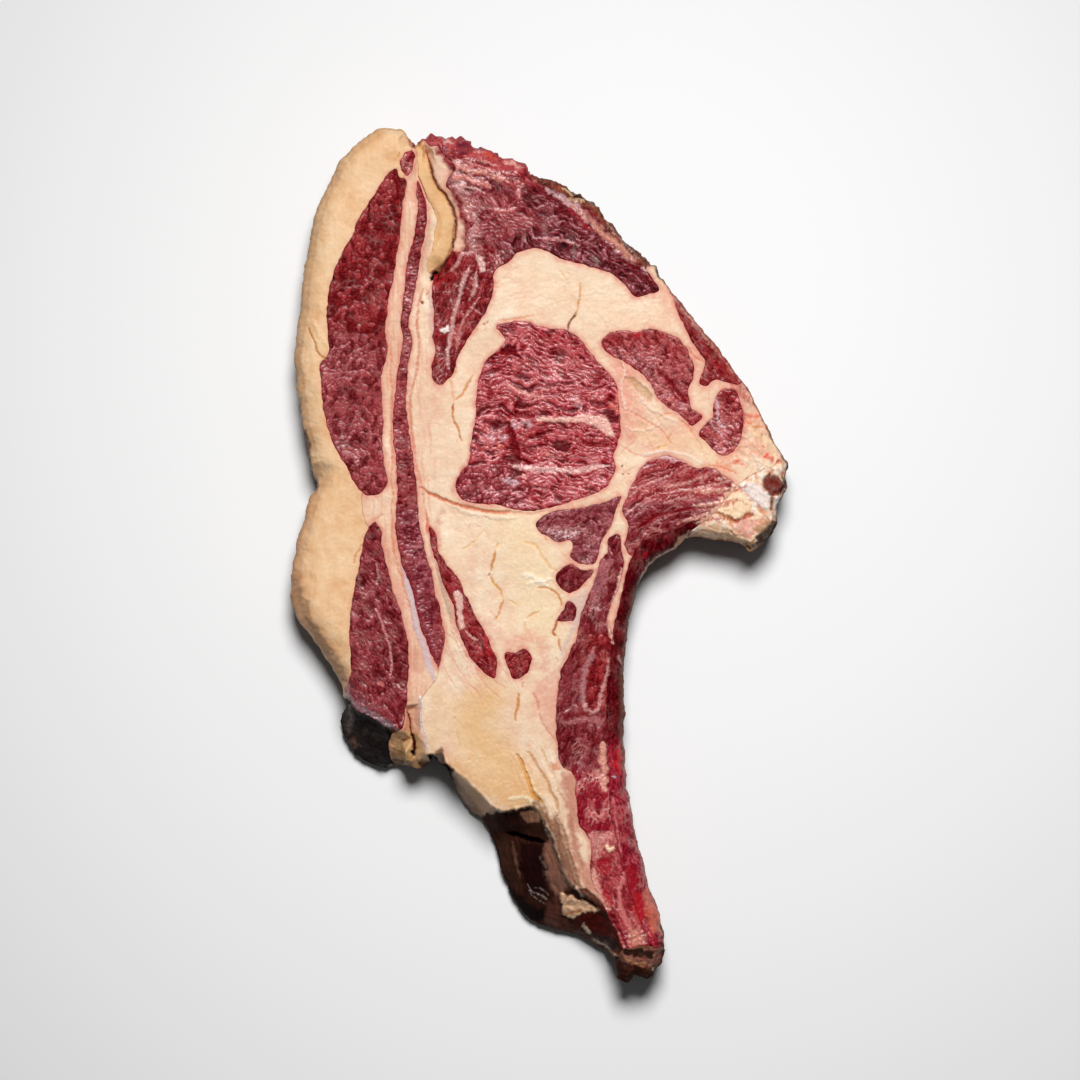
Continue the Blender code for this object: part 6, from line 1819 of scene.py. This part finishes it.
def dress(piece, rims, materials):
    """Shapes and paints one piece."""
    plan = piece.spots[:, :2].copy()
    to_flesh, _ = tree_distances(rims["flesh"], plan)
    to_outer, nearest = tree_distances(rims["outer"], plan)
    on_top = piece.wall == CUT_FACE
    if piece.name in FAT:
        paint, marks, slot = paint_fat, FAT_MARKS, "inner_fat"
    elif piece.name in BONE:
        paint, marks, slot = paint_bone, BONE_MARKS, "bone"
    else:
        paint, marks, slot = paint_flesh, FLESH_MARKS, "lean_meat"
    slot = SLOTS.get(piece.name, slot)
    tint, relief, gloss = paint(piece.name, plan, to_flesh)
    # The relief is lower where two pieces meet
    relief = relief * (0.3 + 0.7 * step(0, 1.4, to_flesh))
    tint, relief = draw_marks(marks, plan, tint, relief)
    tint, relief = draw_streaks(plan, tint, relief)
    tint, shift = paint_sides(piece, plan, to_outer, tint)
    light = step(0.01, 0.12, tint @ np.array(LUMINANCE))
    gloss = gloss * (DARK_GLOSS + (1 - DARK_GLOSS) * light)
    piece.spots[:, 2] += np.where(on_top, relief, 0)
    piece.spots[:, :2] += rims["ways"][nearest] * shift[:, None]
    for n, (size, amount) in enumerate(RAGGED):
        x, y = plan[:, 0] / size, plan[:, 1] / size
        piece.spots[:, 0] += amount * noise2(x, y, RAGGED_SEED + 2 * n)
        piece.spots[:, 1] += amount * noise2(x, y, RAGGED_SEED + 2 * n + 1)
    add_piece(piece, tint, gloss, materials[slot])


# The stage, in metres, degrees and watts
FLOOR_REACH = 3.0
FLOOR_DROP = 0.0002
FLOOR_TONE = 0.87
SKY_STRENGTH = 0.057
LAMP_PLACE = (0.1, 0.85, 1.9)
LAMP_AIM = (0.034, 0, 0)
LAMP_SIZE = 0.75
LAMP_SPREAD = 50
LAMP_POWER = 4.28
CAMERA_PLACE = (0.0001, 0.0066, 3.0)
CUT_HEIGHT = 0.035
VIEW_WIDTH = 0.486

# The width of the camera's sensor, in millimetres
SENSOR = 36


def add_lamp():
    """A soft round lamp above the far end of the part."""
    light = bpy.data.lights.new("key", "AREA")
    light.shape = "DISK"
    light.size = LAMP_SIZE
    light.spread = math.radians(LAMP_SPREAD)
    light.energy = LAMP_POWER
    made = bpy.data.objects.new("key", light)
    made.location = LAMP_PLACE
    way = Vector(LAMP_AIM) - Vector(LAMP_PLACE)
    made.rotation_euler = way.to_track_quat("-Z", "Y").to_euler()
    bpy.context.scene.collection.objects.link(made)


def add_floor():
    """A pale matt floor, just below the part."""
    mesh = bpy.data.meshes.new("floor")
    size = FLOOR_REACH
    mesh.from_pydata([(-size, -size, 0), (size, -size, 0), (size, size, 0), (-size, size, 0)],
                     [], [(0, 1, 2, 3)])
    floor = bpy.data.objects.new("floor", mesh)
    floor.location = (0, 0, -FLOOR_DROP)
    material = bpy.data.materials.new("floor")
    material.use_nodes = True
    shader = material.node_tree.nodes["Principled BSDF"]
    shader.inputs["Base Color"].default_value = (FLOOR_TONE, FLOOR_TONE, FLOOR_TONE, 1)
    shader.inputs["Roughness"].default_value = 0.8
    mesh.materials.append(material)
    bpy.context.scene.collection.objects.link(floor)


def add_sky():
    """A faint even light from all round."""
    world = bpy.data.worlds.new("studio")
    bpy.context.scene.world = world
    world.use_nodes = True
    sky = world.node_tree.nodes["Background"]
    sky.inputs["Color"].default_value = (1, 1, 1, 1)
    sky.inputs["Strength"].default_value = SKY_STRENGTH


def add_camera():
    """The camera straight above, whose picture is VIEW_WIDTH wide at the height of the cut."""
    camera = bpy.data.cameras.new("camera")
    camera.sensor_width = SENSOR
    camera.lens = SENSOR * (CAMERA_PLACE[2] - CUT_HEIGHT) / VIEW_WIDTH
    camera.clip_start = 0.1
    camera.clip_end = 20
    made = bpy.data.objects.new("camera", camera)
    made.location = CAMERA_PLACE
    bpy.context.scene.collection.objects.link(made)
    bpy.context.scene.camera = made
    bpy.context.scene.view_settings.view_transform = "Standard"


def add_pieces(nodes):
    """Rebuilds the solids as fine painted meshes."""
    # The rib bone's mesh is made below that of its lining, from the same rim
    solids = {name: Solid(node) for name, node in nodes.items() if name != "rib_bone"}
    network = Network(solids)
    heights = HeightMap(solids)
    flesh_rim, outer_rim, outer_ways = [], [], []
    pieces = []
    for name, solid in solids.items():
        loops = fine_loops(name, solid, network)
        if name == "rib_lining":
            pieces.append(make_piece("rib_bone", loops, heights, ceiling=LINING_FLOOR))
            pieces.append(make_piece(name, loops, heights, floor=LINING_FLOOR))
        else:
            pieces.append(make_piece(name, loops, heights))
        for line, outer, _ in loops:
            outer_rim.append(line[outer])
            outer_ways.append(outward_ways(line)[outer])
            if name in GRAINS:
                flesh_rim.append(line[~outer])
    rims = {"flesh": tree_of(np.vstack(flesh_rim)), "outer": tree_of(np.vstack(outer_rim)),
            "ways": np.vstack(outer_ways)}
    materials = {slot: meat_material(slot) for slot in SURFACES}
    for piece in pieces:
        dress(piece, rims, materials)


def build_scene():
    """The part's looks and the stage."""
    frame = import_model()
    add_pieces(frame["nodes"])
    add_floor()
    add_sky()
    add_lamp()
    add_camera()


build_scene()
